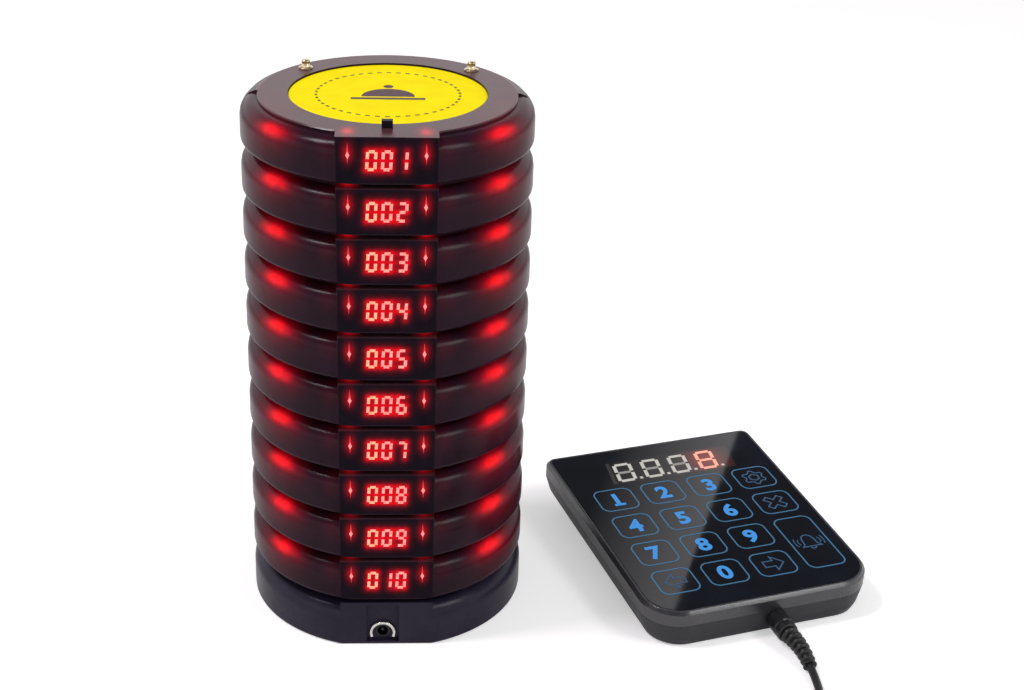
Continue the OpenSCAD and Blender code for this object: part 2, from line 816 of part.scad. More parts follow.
// Solid tube along a route, its radius running from r0 to r1
module tube(p, r0, r1, sides) {
    last = len(p) - 1;
    rings = [for (i = [0:last]) each ring(p, i, r0 + (r1 - r0) * i / last, sides)];
    walls = [for (i = [0:last - 1], k = [0:sides - 1])
        let (a = i * sides, b = a + sides, n = (k + 1) % sides) [a + k, a + n, b + n, b + k]];
    ends = [[for (k = [0:sides - 1]) sides - 1 - k], [for (k = [0:sides - 1]) last * sides + k]];
    polyhedron(rings, concat(walls, ends), convexity = 4);
}

module lead_plug() {
    face = key_out + 0.1;
    color([0.03, 0.03, 0.03]) on_slope() translate([key_jack_x, -face, -key_jack_depth])
        rotate([90, 0, 0]) cylinder(h = grip_l, d = grip_d);
    color([0.8, 0.8, 0.82]) on_slope() translate([key_jack_x, -face, -key_jack_depth])
        rotate([-90, 0, 0]) difference() {
            cylinder(h = barrel_l, d = barrel_d);
            translate([0, 0, cut]) cylinder(h = pager_d, d = key_tip_d + 0.3);
        }
    color([0.03, 0.03, 0.03]) tube(relief_route, relief_r0, relief_r1, 12);
}

module lead_cable() {
    color([0.03, 0.03, 0.03]) tube(lead_route, lead_d / 2, lead_d / 2, 8);
    color([0.03, 0.03, 0.03]) tube(tail_route, lead_d / 2, lead_d / 2, 8);
}

module lead_coil() {
    outer = coil_outer_turn_r + lead_d / 2;
    color([0.03, 0.03, 0.03]) translate([coil_place[0], coil_place[1], 0]) rotate_extrude()
        translate([outer - coil_turns_wide * lead_d, 0])
            square([coil_turns_wide * lead_d, coil_turns_high * lead_d]);
}

module lead_usb_plug() {
    end = tail_route[len(tail_route) - 1];
    color([0.03, 0.03, 0.03]) translate([end[0] - usb_grip[0], end[1] - usb_grip[1] / 2, 0])
        cube(usb_grip);
    translate([end[0] - usb_grip[0] - usb_shell[0], end[1], usb_grip[2] / 2]) {
        color([0.8, 0.8, 0.82]) difference() {
            translate([0, -usb_shell[1] / 2, -usb_shell[2] / 2]) cube(usb_shell);
            translate([-cut, -usb_shell[1] / 2 + usb_wall, -usb_shell[2] / 2 + usb_wall])
                cube([usb_shell[0] - usb_back + cut, usb_shell[1] - 2 * usb_wall,
                      usb_shell[2] - 2 * usb_wall]);
        }
        color([0.9, 0.9, 0.9]) translate([usb_shell[0] - usb_back - usb_tongue[0],
                                          -usb_tongue[1] / 2, 0])
            cube(usb_tongue);
    }
}

// ---- Nodes ----

for (i = [1:pager_count]) {
    at_pager(i) pager_case();
    at_pager(i) pager_cover();
    at_pager(i) pager_label();
    at_pager(i) pager_internals();
}
base_case();
base_bottom();
base_pins();
base_board();
base_dc_jack();
base_jack_ring();
base_foot_pad();
base_screws();
keypad_case();
keypad_bezel();
keypad_glass();
keypad_board();
keypad_display();
keypad_dc_jack();
keypad_feet();
keypad_screws();
lead_plug();
lead_cable();
lead_coil();
lead_usb_plug();
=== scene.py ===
# %% [markdown]
# # A stack of guest pagers with its keypad
# A counter hands a round pager to each guest and calls it from a keypad with touch keys.
# Ten pagers stand on a charging base. This lesson dresses the measured solids of that set
# with finishes, lights and the small pieces that the solids leave plain.

# %% Load the measured solids
import bpy
import bmesh
import math
from mathutils import Matrix, Vector


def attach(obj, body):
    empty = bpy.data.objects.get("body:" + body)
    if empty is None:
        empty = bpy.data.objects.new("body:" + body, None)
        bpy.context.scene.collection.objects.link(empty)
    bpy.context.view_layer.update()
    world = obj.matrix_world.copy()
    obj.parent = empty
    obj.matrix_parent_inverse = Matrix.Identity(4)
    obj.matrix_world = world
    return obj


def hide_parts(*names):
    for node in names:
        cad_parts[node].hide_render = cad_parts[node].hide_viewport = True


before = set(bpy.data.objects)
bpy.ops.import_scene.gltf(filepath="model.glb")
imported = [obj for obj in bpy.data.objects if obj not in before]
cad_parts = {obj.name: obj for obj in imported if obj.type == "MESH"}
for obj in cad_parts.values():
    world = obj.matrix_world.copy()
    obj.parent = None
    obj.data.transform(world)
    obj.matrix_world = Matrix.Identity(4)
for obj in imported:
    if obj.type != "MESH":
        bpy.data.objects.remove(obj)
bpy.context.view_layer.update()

# %% [markdown]
# ## Sizes
# The solids are in metres, and people measure such things in millimetres. One factor turns
# the first into the second, and the few sizes that the dressing shares with the solids are
# named once, here.

# %% Shared sizes
MM = 0.001
PAGERS = 10
PITCH = 17.4 * MM           # from one pager's foot to the next one's
BASE_TOP = 17.5 * MM
FRONT_Y = -46.9 * MM        # the flat front face
BLOCK_HALF = 16.5 * MM      # half the width of the block behind that face
PIN_SPOTS = [(side * 28.983 * MM, 26.096 * MM) for side in (-1, 1)]
LABEL_TOP = PITCH - 0.7 * MM
DIGIT_Z = 9.6 * MM
LIGHT_X, LIGHT_Z = 12.5 * MM, 11.3 * MM


def mm(*sizes):
    """Sizes in millimetres, as metres."""
    return tuple(size * MM for size in sizes)


def foot_z(number):
    """Height of the foot of the pager with this number. Number 1 is on top."""
    return BASE_TOP + (PAGERS - number) * PITCH


def pager(number, part=""):
    """Name of a pager's body, or of one part of that pager."""
    return f"pager_{number:02d}" + (f"_{part}" if part else "")


def placed(name, data):
    """Object with this data, linked to the scene."""
    obj = bpy.data.objects.new(name, data)
    bpy.context.collection.objects.link(obj)
    return obj


print("top plate at", round((foot_z(1) + PITCH) / MM, 1), "mm")

# %% [markdown]
# ## The camera
# The photograph was taken from a little above, far enough away that the stack hardly
# narrows. Its place and turn were found by matching corners of the real set. A camera is
# turned here by writing its three axes as the columns of a matrix, which leaves no doubt
# about the order of turns.

# %% Camera
def aim(yaw, pitch, roll):
    """Camera turned by yaw towards +X, pitch below the horizon and roll, in degrees."""
    yaw, pitch, roll = (math.radians(a) for a in (yaw, pitch, roll))
    ahead = Vector((math.sin(yaw) * math.cos(pitch), math.cos(yaw) * math.cos(pitch),
                    -math.sin(pitch)))
    right = Vector((math.cos(yaw), -math.sin(yaw), 0))
    up = right.cross(ahead)
    right, up = (right * math.cos(roll) + up * math.sin(roll),
                 up * math.cos(roll) - right * math.sin(roll))
    return Matrix((right, up, -ahead)).transposed()


CAMERA_AT = Vector((4.7, -585.7, 376.4)) * MM
camera_data = bpy.data.cameras.new("camera")
camera_data.sensor_width = 36
camera_data.lens = 63.18
camera_data.clip_start, camera_data.clip_end = 0.05, 50
camera = placed("camera", camera_data)
camera.matrix_world = Matrix.Translation(CAMERA_AT) @ aim(3.91, 25.45, 1.92).to_4x4()
bpy.context.scene.camera = camera
print("camera looks along", [round(v, 3) for v in camera.matrix_world.col[2][:3]])

# %% [markdown]
# ## Making and hanging pieces
# Every new piece is modelled in a bmesh, turned into an object that sits at the origin, and
# hung on the body that carries it. One function does all three, so that no piece is left
# behind when a pager is lifted.

# %% Piece helpers
def hang(obj, body, replaced=()):
    """Fix a finished object to the body that carries it."""
    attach(obj, body)
    if replaced:
        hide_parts(*replaced)
    return obj


def refinish(node, *materials):
    """Give a measured solid its finish, its mesh untouched."""
    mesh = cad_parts[node].data
    mesh.materials.clear()
    for material in materials:
        mesh.materials.append(material)


SHARP = math.radians(35)    # edges sharper than this stay sharp in the smooth shading


def finish_piece(bm, name, body, materials, replaced=()):
    """Object made of a bmesh, with its normals outwards, on its body."""
    bmesh.ops.recalc_face_normals(bm, faces=bm.faces)
    mesh = bpy.data.meshes.new(name)
    bm.to_mesh(mesh)
    bm.free()
    for material in materials:
        mesh.materials.append(material)
    mesh.polygons.foreach_set("use_smooth", [True] * len(mesh.polygons))
    mesh.set_sharp_from_angle(angle=SHARP)
    return hang(placed(name, mesh), body, replaced)


def keep_flats_flat(obj):
    """Let the large flat faces set the shading of the small rounds beside them."""
    weighted = obj.modifiers.new("flat faces first", "WEIGHTED_NORMAL")
    weighted.keep_sharp, weighted.weight = True, 100
    return obj


def faces_of(verts):
    """Faces that touch these points."""
    return list({f for v in verts for f in v.link_faces})


def paint(verts, slot):
    """Give the faces of these points a material slot."""
    for face in faces_of(verts):
        face.material_index = slot


def move(bm, verts, by):
    """Shift these points."""
    bmesh.ops.translate(bm, vec=by, verts=verts)


def extruded(bm, verts, by):
    """Give the flat faces of these points a thickness, and return the new points."""
    out = bmesh.ops.extrude_face_region(bm, geom=faces_of(verts), use_keep_orig=True)["geom"]
    added = [v for v in out if isinstance(v, bmesh.types.BMVert)]
    move(bm, added, by)
    return added


MERGE = 1e-6                # points of new shapes closer than this, in metres, are one


def since(bm, before):
    """Points that were added after the set before was taken."""
    return [v for v in bm.verts if v not in before]


def merged_since(bm, before):
    """The same, with points that meet joined into one."""
    bmesh.ops.remove_doubles(bm, verts=since(bm, before), dist=MERGE)
    return since(bm, before)


def disc(bm, segments, radius=1):
    """Flat face with this many corners, at the origin."""
    return bmesh.ops.create_circle(bm, cap_ends=True, segments=segments, radius=radius)["verts"]


def box_in(bm, low, high, edge=0.0, segments=2, slot=0):
    """Box between two corners, its edges rounded by edge."""
    before = set(bm.verts)
    made = bmesh.ops.create_cube(bm, size=1)["verts"]
    bmesh.ops.scale(bm, vec=[b - a for a, b in zip(low, high)], verts=made)
    move(bm, made, [(a + b) / 2 for a, b in zip(low, high)])
    if edge:
        bmesh.ops.bevel(bm, geom=list({e for v in made for e in v.link_edges}), offset=edge,
                        segments=segments, profile=0.5, affect="EDGES", material=-1,
                        clamp_overlap=True)
        made = since(bm, before)
    paint(made, slot)
    return made


def lathe(bm, profile, centre, steps=32, slot=0):
    """Solid of revolution about a vertical axis. The profile is (radius, height) pairs."""
    before = set(bm.verts)
    ring = [bm.verts.new((centre[0] + r, centre[1], centre[2] + z)) for r, z in profile]
    line = [bm.edges.new(pair) for pair in zip(ring, ring[1:])]
    bmesh.ops.spin(bm, geom=ring + line, cent=centre, axis=(0, 0, 1), angle=2 * math.pi,
                   steps=steps, use_merge=True)
    made = merged_since(bm, before)
    paint(made, slot)
    return made


print("piece helpers ready")

# %% [markdown]
# ## The lead
# The keypad's lead is a limp round cable, 3 mm thick. It leaves its plug, sinks to the table
# and runs out of the picture, where the rest is put away as a flat coil: two layers of
# turns that lie a diameter apart. A curve with a round bevel keeps its thickness exact.

# %% Route of the lead
LEAD_D = 3 * MM
COIL_AT = (129 * MM, -110 * MM)
COIL_OUT, COIL_IN, COIL_TURNS, TURN_STEPS = 21 * MM, 9 * MM, 4, 36
RELIEF_ROUTE = [(145.1, -50, 5.6), (146.7, -53.8, 5.3), (148.2, -57.7, 4.7),
                (149.3, -61.8, 3.8), (150, -66, 2.8)]
LEAD_ROUTE = [(150, -66, 2.8), (150.5, -69.5, 2.1), (150.8, -73.5, 1.6), (150.8, -78, 1.5),
              (150.5, -84, 1.5), (150.2, -91, 1.5), (150, -100, 1.5)]
TAIL_ROUTE = [(125, -131, 4.5), (121, -130.6, 4.5), (117, -131, 4.3), (113, -131, 4.1),
              (109, -131, 4)]


def metres(points):
    """Points given in millimetres, as vectors in metres."""
    return [Vector(p) * MM for p in points]


def coil_point(turn, radius, height):
    """Point of the coil. Turns are counted clockwise, seen from above, from its right side."""
    angle = -2 * math.pi * turn
    return Vector((COIL_AT[0] + radius * math.cos(angle), COIL_AT[1] + radius * math.sin(angle),
                   height))


def spiral(first_turn, turns, r_from, r_to, z_from, z_to):
    count = round(turns * TURN_STEPS)
    return [coil_point(first_turn + turns * i / count, r_from + (r_to - r_from) * i / count,
                       z_from + (z_to - z_from) * i / count) for i in range(count + 1)]


low_z, high_z = LEAD_D / 2, LEAD_D * 1.5
bottom_layer = spiral(0, COIL_TURNS, COIL_OUT, COIL_IN, low_z, low_z)
climb = spiral(COIL_TURNS, 0.25, COIL_IN, COIL_IN, low_z, high_z)[1:]
top_layer = spiral(COIL_TURNS + 0.25, COIL_TURNS, COIL_IN, COIL_OUT, high_z, high_z)[1:]
lead_path = metres(LEAD_ROUTE) + bottom_layer + climb + top_layer + metres(TAIL_ROUTE)
print("lead:", len(lead_path), "points")

# %% [markdown]
# ## Finishes: a small kit of nodes
# A finish is a graph of nodes. Writing each node by hand hides the idea behind wiring, so
# small functions place the maths, the noises and the colour mixes. Every pattern is
# measured in metres on the object's own coordinates, so its grain has a real size.

# %% Node kit
def fill(tree, socket, value):
    """Set a socket to a number, a colour or another node's output."""
    if isinstance(value, bpy.types.NodeSocket):
        tree.links.new(value, socket)
    elif hasattr(socket.default_value, "__len__"):
        socket.default_value = tuple(value) + (1,) * (len(socket.default_value) - len(value))
    else:
        socket.default_value = value


def maths(tree, operation, *values, clamp=False):
    node = tree.nodes.new("ShaderNodeMath")
    node.operation, node.use_clamp = operation, clamp
    for socket, value in zip(node.inputs, values):
        fill(tree, socket, value)
    return node.outputs[0]


def add(tree, a, b, clamp=False):
    return maths(tree, "ADD", a, b, clamp=clamp)


def minus(tree, a, b):
    return maths(tree, "SUBTRACT", a, b)


def times(tree, a, b, clamp=False):
    return maths(tree, "MULTIPLY", a, b, clamp=clamp)


def vector_maths(tree, operation, *values):
    node = tree.nodes.new("ShaderNodeVectorMath")
    node.operation = operation
    for socket, value in zip(node.inputs, values):
        fill(tree, socket, value)
    return node.outputs["Value" if operation in ("LENGTH", "DOT_PRODUCT") else "Vector"]


def blend(tree, factor, low, high):
    """Colour between low and high."""
    node = tree.nodes.new("ShaderNodeMix")
    node.data_type = "RGBA"
    for socket, value in zip((node.inputs["Factor"], node.inputs[6], node.inputs[7]),
                             (factor, low, high)):
        fill(tree, socket, value)
    return node.outputs[2]


def ramp(tree, value, low, high, to_low=0.0, to_high=1.0, smooth=False):
    """Value from low to high spread over to_low to to_high."""
    node = tree.nodes.new("ShaderNodeMapRange")
    node.interpolation_type = "SMOOTHSTEP" if smooth else "LINEAR"
    for socket, number in zip(node.inputs, (value, low, high, to_low, to_high)):
        fill(tree, socket, number)
    return node.outputs[0]


def two_tone(tree, pattern, dark, light, low=0.3, high=0.7):
    """Colour from dark to light, as a pattern goes from low to high."""
    return blend(tree, ramp(tree, pattern, low, high), dark, light)


def noise(tree, place, grain, detail=2.0, stretch=None):
    """Noise whose lumps are about one grain across, in metres."""
    if stretch:
        place = vector_maths(tree, "MULTIPLY", place, stretch)
    node = tree.nodes.new("ShaderNodeTexNoise")
    fill(tree, node.inputs["Vector"], place)
    fill(tree, node.inputs["Scale"], 1 / grain)
    fill(tree, node.inputs["Detail"], detail)
    return node.outputs["Fac"]


def object_place(tree):
    """Place on the object's own coordinates."""
    return tree.nodes.new("ShaderNodeTexCoord").outputs["Object"]


def parted(tree, place):
    """The three coordinates of a place."""
    node = tree.nodes.new("ShaderNodeSeparateXYZ")
    fill(tree, node.inputs[0], place)
    return node.outputs


def finish(name, roughness, specular=0.5, metallic=0.0):
    """New material. Numbers that are the same all over go straight on the shader."""
    material = bpy.data.materials.new(name)
    material.use_nodes = True
    tree = material.node_tree
    shader = tree.nodes["Principled BSDF"]
    shader.inputs["Roughness"].default_value = roughness
    shader.inputs["Specular IOR Level"].default_value = specular
    shader.inputs["Metallic"].default_value = metallic
    return material, tree, shader


def bump(tree, shader, height, depth):
    """Relief of this depth in metres, where height runs from 0 to 1."""
    node = tree.nodes.new("ShaderNodeBump")
    fill(tree, node.inputs["Strength"], 1.0)
    fill(tree, node.inputs["Distance"], depth)
    fill(tree, node.inputs["Height"], height)
    tree.links.new(node.outputs[0], shader.inputs["Normal"])


def moulded(name, dark, light, roughness, grain, depth, specular=0.5, cloud=20, metallic=0.0):
    """Moulded surface: cloudy colour between two shades, fine grain in relief and gloss.
    Grain, depth and cloud are in millimetres."""
    material, tree, shader = finish(name, roughness, specular, metallic)
    place = object_place(tree)
    clouds = noise(tree, place, cloud * MM, 3.0)
    grains = noise(tree, place, grain * MM)
    fill(tree, shader.inputs["Base Color"], two_tone(tree, clouds, dark, light))
    spread = add(tree, ramp(tree, clouds, 0.2, 0.8, -0.05, 0.05),
                 ramp(tree, grains, 0.2, 0.8, -0.04, 0.04))
    fill(tree, shader.inputs["Roughness"], add(tree, roughness, spread, clamp=True))
    bump(tree, shader, grains, depth * MM)
    return material


def glowing(name, colour, strength):
    """A lit surface that is a little uneven, as light behind plastic is."""
    material, tree, shader = finish(name, 0.4)
    patches = noise(tree, object_place(tree), 0.6 * MM, 1.0)
    fill(tree, shader.inputs["Base Color"], [c * 0.3 for c in colour])
    fill(tree, shader.inputs["Emission Color"],
         two_tone(tree, patches, [c * 0.82 for c in colour], colour))
    shader.inputs["Emission Strength"].default_value = strength
    return material


print("node kit ready")

# %% [markdown]
# ## Rubber and metal
# The lead and its plugs are black flexible vinyl: nearly matt, with a faint grain. The
# contacts are turned brass and the shells of the plugs are nickel plated, both with the
# fine rings that a lathe or a press leaves.

# %% Rubber and metal finishes
lead_vinyl = moulded("lead_vinyl", (0.008, 0.008, 0.009), (0.016, 0.016, 0.017), 0.42,
                     0.25, 0.02, specular=0.45)
plug_vinyl = moulded("plug_vinyl", (0.006, 0.006, 0.007), (0.013, 0.013, 0.014), 0.36,
                     0.35, 0.03, specular=0.5)
foot_rubber = moulded("foot_rubber", (0.018, 0.018, 0.018), (0.03, 0.03, 0.03), 0.75,
                      0.4, 0.05, specular=0.3)


def plated(name, dark, light, roughness):
    """Metal with rings from turning, one every quarter of a millimetre up its height."""
    material, tree, shader = finish(name, roughness, metallic=1.0)
    place = object_place(tree)
    rings = noise(tree, place, 0.5 * MM, stretch=(0.15, 0.15, 2.0))
    stains = noise(tree, place, 2.5 * MM)
    fill(tree, shader.inputs["Base Color"], two_tone(tree, stains, dark, light))
    fill(tree, shader.inputs["Roughness"],
         ramp(tree, rings, 0.2, 0.8, roughness * 0.7, roughness * 1.4))
    bump(tree, shader, rings, 0.006 * MM)
    return material


brass = plated("brass", (0.6, 0.5, 0.3), (0.8, 0.7, 0.48), 0.28)
nickel = plated("nickel", (0.62, 0.61, 0.58), (0.78, 0.77, 0.74), 0.2)
screw_steel = plated("screw_steel", (0.4, 0.4, 0.41), (0.55, 0.55, 0.56), 0.32)
print("finishes:", len(bpy.data.materials))

# %% [markdown]
# ## The cable and its plugs
# The cable itself is the curve. The plug at the keypad is a smooth grip that narrows into a
# ribbed strain relief: short ribs with gaps between them, so that the sleeve bends where a
# plain one would crack. The ribs come from a curve whose thickness changes from point to
# point, turned into a mesh. The plug at the far end is a flat grip round a metal shell.

# %% Cable
def curve_of(name, points, radius, sides, radii=None):
    """Round curve through these points. Radii thin or thicken it from point to point."""
    data = bpy.data.curves.new(name, "CURVE")
    data.dimensions = "3D"
    data.bevel_depth = radius
    data.bevel_resolution = sides
    data.use_fill_caps = True
    line = data.splines.new("POLY")
    line.points.add(len(points) - 1)
    for i, point in enumerate(points):
        line.points[i].co = (*point, 1)
        line.points[i].radius = radii[i] if radii else 1.0
    return placed(name, data)


def smooth_route(points, per_leg):
    """Points of a smooth line through a route, more of them than the route has."""
    out = []
    for i in range(len(points) - 1):
        before, a = points[max(i - 1, 0)], points[i]
        b, after = points[i + 1], points[min(i + 2, len(points) - 1)]
        for k in range(per_leg):
            t = k / per_leg
            out.append(0.5 * ((2 * a) + (b - before) * t + (2 * before - 5 * a + 4 * b - after)
                              * t * t + (3 * a - before - 3 * b + after) * t ** 3))
    return out + [points[-1]]


SHORTEST_STEP = 0.2 * MM
cable_route = smooth_route(metres(LEAD_ROUTE), 3)[:-1] + lead_path[len(LEAD_ROUTE):]
cable_route = [p for p, q in zip(cable_route, cable_route[1:] + [None])
               if q is None or (q - p).length > SHORTEST_STEP]
cable = curve_of("lead_wire", cable_route, LEAD_D / 2, 3)
cable.data.materials.append(lead_vinyl)
hang(cable, "table_set", ["lead_cable", "lead_coil"])

# %% Plug at the keypad
KEYPAD_AT = (138.6 * MM, -40.7 * MM)
KEYPAD_HEADING, KEYPAD_TILT = math.radians(17), math.radians(3.2)
TOP_FRONT_Z = 15.4 * MM
on_table = Matrix.Translation((*KEYPAD_AT, 0)) @ Matrix.Rotation(KEYPAD_HEADING, 4, "Z")
on_glass = (on_table @ Matrix.Translation((0, 0, TOP_FRONT_Z))
            @ Matrix.Rotation(KEYPAD_TILT, 4, "X"))

JACK_X, JACK_DEPTH = 3.5 * MM, 9.2 * MM
CASE_FACE, GRIP_L = 1.3 * MM, 10 * MM
GRIP_R, BARREL_R = 4 * MM, 2.65 * MM
RIBS = 7
RELIEF_START, RELIEF_END, RIB_DEPTH = 3.7 * MM, 2.6 * MM, 1.25 * MM
WIRE_R = LEAD_D / 2 + 0.05 * MM
RELIEF_STEPS, RIBS_BEGIN = 18, 8        # points per leg, and how soon the ribs reach full depth


def ribbed_relief():
    """Points and radii of the grip's sleeve, which narrows in ribs to the cable."""
    start = on_glass @ Vector((JACK_X, -CASE_FACE - GRIP_L + 1.5 * MM, -JACK_DEPTH))
    line = smooth_route([start] + metres(RELIEF_ROUTE), RELIEF_STEPS)
    reach = [0.0]
    for a, b in zip(line, line[1:]):
        reach.append(reach[-1] + (b - a).length)
    radii = []
    for s in reach:
        t = s / reach[-1]
        body = RELIEF_START + (RELIEF_END - RELIEF_START) * t
        valley = (0.5 - 0.5 * math.cos(2 * math.pi * RIBS * t)) ** 2
        radii.append(max(body - RIB_DEPTH * valley * min(1, t * RIBS_BEGIN), WIRE_R) / MM)
    return line, radii


relief_line, relief_radii = ribbed_relief()
relief = curve_of("plug_relief", relief_line, 1 * MM, 5, relief_radii)
relief_mesh = bpy.data.meshes.new_from_object(relief)
bpy.data.objects.remove(relief)

plug = bmesh.new()
plug.from_mesh(relief_mesh)
bmesh.ops.remove_doubles(plug, verts=plug.verts, dist=MERGE)
out_of_case = (on_glass @ Matrix.Translation((JACK_X, -CASE_FACE, -JACK_DEPTH))
               @ Matrix.Rotation(math.radians(90), 4, "X"))
grip_profile = [(0, 0), (GRIP_R - 0.5 * MM, 0), (GRIP_R, 0.5 * MM), (GRIP_R, 6.2 * MM),
                (GRIP_R - 0.35 * MM, 6.6 * MM), (GRIP_R - 0.35 * MM, 7.2 * MM),
                (GRIP_R, 7.6 * MM), (GRIP_R - 0.1 * MM, GRIP_L - 0.4 * MM),
                (GRIP_R - 0.6 * MM, GRIP_L), (0, GRIP_L)]
grip = lathe(plug, grip_profile, (0, 0, 0), 40)
bmesh.ops.transform(plug, matrix=out_of_case, verts=grip)
barrel_profile = [(0, 0.2 * MM), (BARREL_R, 0.2 * MM), (BARREL_R, -10 * MM),
                  (BARREL_R - 0.3 * MM, -10.3 * MM), (1.05 * MM, -10.3 * MM),
                  (1.05 * MM, -1 * MM), (0, -1 * MM)]
barrel = lathe(plug, barrel_profile, (0, 0, 0), 32, slot=1)
bmesh.ops.transform(plug, matrix=out_of_case, verts=barrel)
plug_piece = finish_piece(plug, "plug_body", "table_set", [plug_vinyl, nickel],
                          ["lead_plug"])
print("plug:", len(plug_piece.data.polygons), "faces")

# %% Plug at the far end
USB_END = Vector((109, -131, 4)) * MM
USB_RIBS, RIB_STEP, RIB_HALF_W, RIB_HALF_L, RIB_OUT = 5, 2.2, *mm(0.5, 5, 0.05)
USB_WALL, MOUTH_DEPTH, MOUTH_AREA = 0.4 * MM, 16.5 * MM, 30 * MM * MM


def usb_box(low, high, edge, segments, slot):
    """Box between two corners, in millimetres from the end of the cable."""
    low, high = (USB_END + Vector(corner) * MM for corner in (low, high))
    return box_in(usb, low, high, edge * MM, segments, slot)


usb = bmesh.new()
usb_box((-26, -8, -4), (0, 8, 4), 1.6, 3, 0)
for k in range(USB_RIBS):
    rib_x = (-6 - RIB_STEP * k) * MM
    for side in (-1, 1):
        low = USB_END + Vector((rib_x - RIB_HALF_W, -RIB_HALF_L, side * 4 * MM - RIB_OUT))
        high = USB_END + Vector((rib_x + RIB_HALF_W, RIB_HALF_L, side * 4 * MM + RIB_OUT))
        if side < 0:        # on the table the ribs are only flat marks inside the grip
            low.z += 0.1 * MM
        box_in(usb, low, high)
shell = usb_box((-44, -6, -2.25), (-25.6, 6, 2.25), 0.35, 2, 1)
mouth = [f for f in faces_of(shell) if f.normal.x < -0.9 and f.calc_area() > MOUTH_AREA]
bmesh.ops.inset_individual(usb, faces=mouth, thickness=USB_WALL)
move(usb, list({v for f in mouth for v in f.verts}), (MOUTH_DEPTH, 0, 0))
usb_box((-42.5, -4.6, 0.1), (-27, 4.6, 1.8), 0.15, 1, 2)
usb_piece = finish_piece(usb, "usb_body", "table_set",
                         [plug_vinyl, nickel, lead_vinyl], ["lead_usb_plug"])
print("far plug:", len(usb_piece.data.polygons), "faces")

# %% [markdown]
# ## Smoked plastic that glows from inside
# A pager's cover is smoke-tinted plastic, almost black by day. Red lights behind it show as
# soft glows: one on each shoulder, and one in the plate above each small front lamp. Real
# scattering inside the plastic would be slow and noisy, so each glow is a soft spot in
# space, and where the cover passes through the spot it shines. The pagers are alike and
# stand one above the other, so a remainder of the height repeats the spots.

# %% Smoked plastic
def soft_spot(tree, place, centre, spread, turn=0.0):
    """1 at the centre, fading over spread, which has one reach for each axis of a turned box."""
    offset = vector_maths(tree, "SUBTRACT", place, centre)
    if turn:
        node = tree.nodes.new("ShaderNodeVectorRotate")
        node.rotation_type = "Z_AXIS"
        fill(tree, node.inputs["Vector"], offset)
        fill(tree, node.inputs["Angle"], math.radians(-turn))
        offset = node.outputs[0]
    far = vector_maths(tree, "LENGTH", vector_maths(tree, "DIVIDE", offset, spread))
    return maths(tree, "EXPONENT", times(tree, times(tree, far, far), -1.0))


def pager_place(tree, place):
    """Place within one pager: sides folded together, height counted from its own foot."""
    across, back, up = parted(tree, place)
    above = 0.5 * MM        # keeps the seam between two pagers off their faces
    height = add(tree, maths(tree, "FLOORED_MODULO", minus(tree, up, BASE_TOP + above), PITCH),
                 above)
    join = tree.nodes.new("ShaderNodeCombineXYZ")
    for socket, value in zip(join.inputs, (maths(tree, "ABSOLUTE", across), back, height)):
        fill(tree, socket, value)
    return join.outputs[0]


ALONG_RIM = 51              # degrees: the way the rim runs at the shoulder glows
SPOTS = [  # centre, reach along each axis, turn, strength
    (mm(36.6, -31.2, 14.0), mm(7.0, 2.7, 2.1), ALONG_RIM, 1.0),
    (mm(37.4, -30.6, 12.5), mm(10, 5.5, 4.5), ALONG_RIM, 0.18),
    ((LIGHT_X, FRONT_Y + 5.5 * MM, PITCH), mm(2.4, 4.0, 1.6), 0, 0.75),
    (mm(19.0, -44.0, 12.5), mm(3.5, 4, 3.5), 0, 0.06),
    (mm(42, -22, 12), mm(11, 17, 9), 0, 0.1),
]
GLOW_DEEP, GLOW_BRIGHT = (0.42, 0.0, 0.006), (0.95, 0.004, 0.006)


def smoked_plastic(name, dark, light, roughness, specular, spots=()):
    """Smoke-tinted plastic, cloudy between two shades, with glows where the spots are."""
    material, tree, shader = finish(name, roughness, specular)
    place = object_place(tree)
    clouds = noise(tree, place, 14 * MM, 3.0)
    grain = noise(tree, place, 0.22 * MM)
    fill(tree, shader.inputs["Base Color"], two_tone(tree, clouds, dark, light))
    fill(tree, shader.inputs["Roughness"],
         add(tree, ramp(tree, clouds, 0.2, 0.8, roughness - 0.04, roughness + 0.04),
             ramp(tree, grain, 0.2, 0.8, -0.03, 0.03)))
    bump(tree, shader, grain, 0.01 * MM)
    if spots:
        own = pager_place(tree, place)
        total = 0.0
        for centre, reach, turn, strength in spots:
            spot = soft_spot(tree, own, centre, reach, turn)
            total = add(tree, total, times(tree, spot, strength))
        uneven = ramp(tree, noise(tree, place, 4 * MM), 0.3, 0.7, 0.85, 1.1)
        total = times(tree, total, uneven, clamp=True)
        fill(tree, shader.inputs["Emission Color"],
             two_tone(tree, total, GLOW_DEEP, GLOW_BRIGHT, 0.3, 0.95))
        fill(tree, shader.inputs["Emission Strength"], total)
    return material


smoked = smoked_plastic("smoked_cover", (0.017, 0.006, 0.012), (0.026, 0.009, 0.019), 0.22, 0.09,
                        SPOTS)
# the plate's copy of the smoked plastic is paler: a painted sheen for the light its upward faces
# reflect
smoked_plate_painted_sheen = smoked_plastic("smoked_plate_painted_sheen", (0.06, 0.02, 0.026), (0.085, 0.03, 0.038), 0.3,
                              0.28, SPOTS)
smoked_unlit = smoked_plastic("smoked_base", (0.019, 0.016, 0.031), (0.029, 0.023, 0.043), 0.27,
                              0.14)
key_black = moulded("key_black", (0.002, 0.002, 0.004), (0.005, 0.004, 0.008), 0.4,
                    0.3, 0.02, specular=0.2)
case_black = moulded("case_black", (0.008, 0.006, 0.009), (0.016, 0.012, 0.016), 0.5,
                     0.5, 0.04, specular=0.3)
print("smoked plastic has", len(smoked.node_tree.nodes), "nodes")
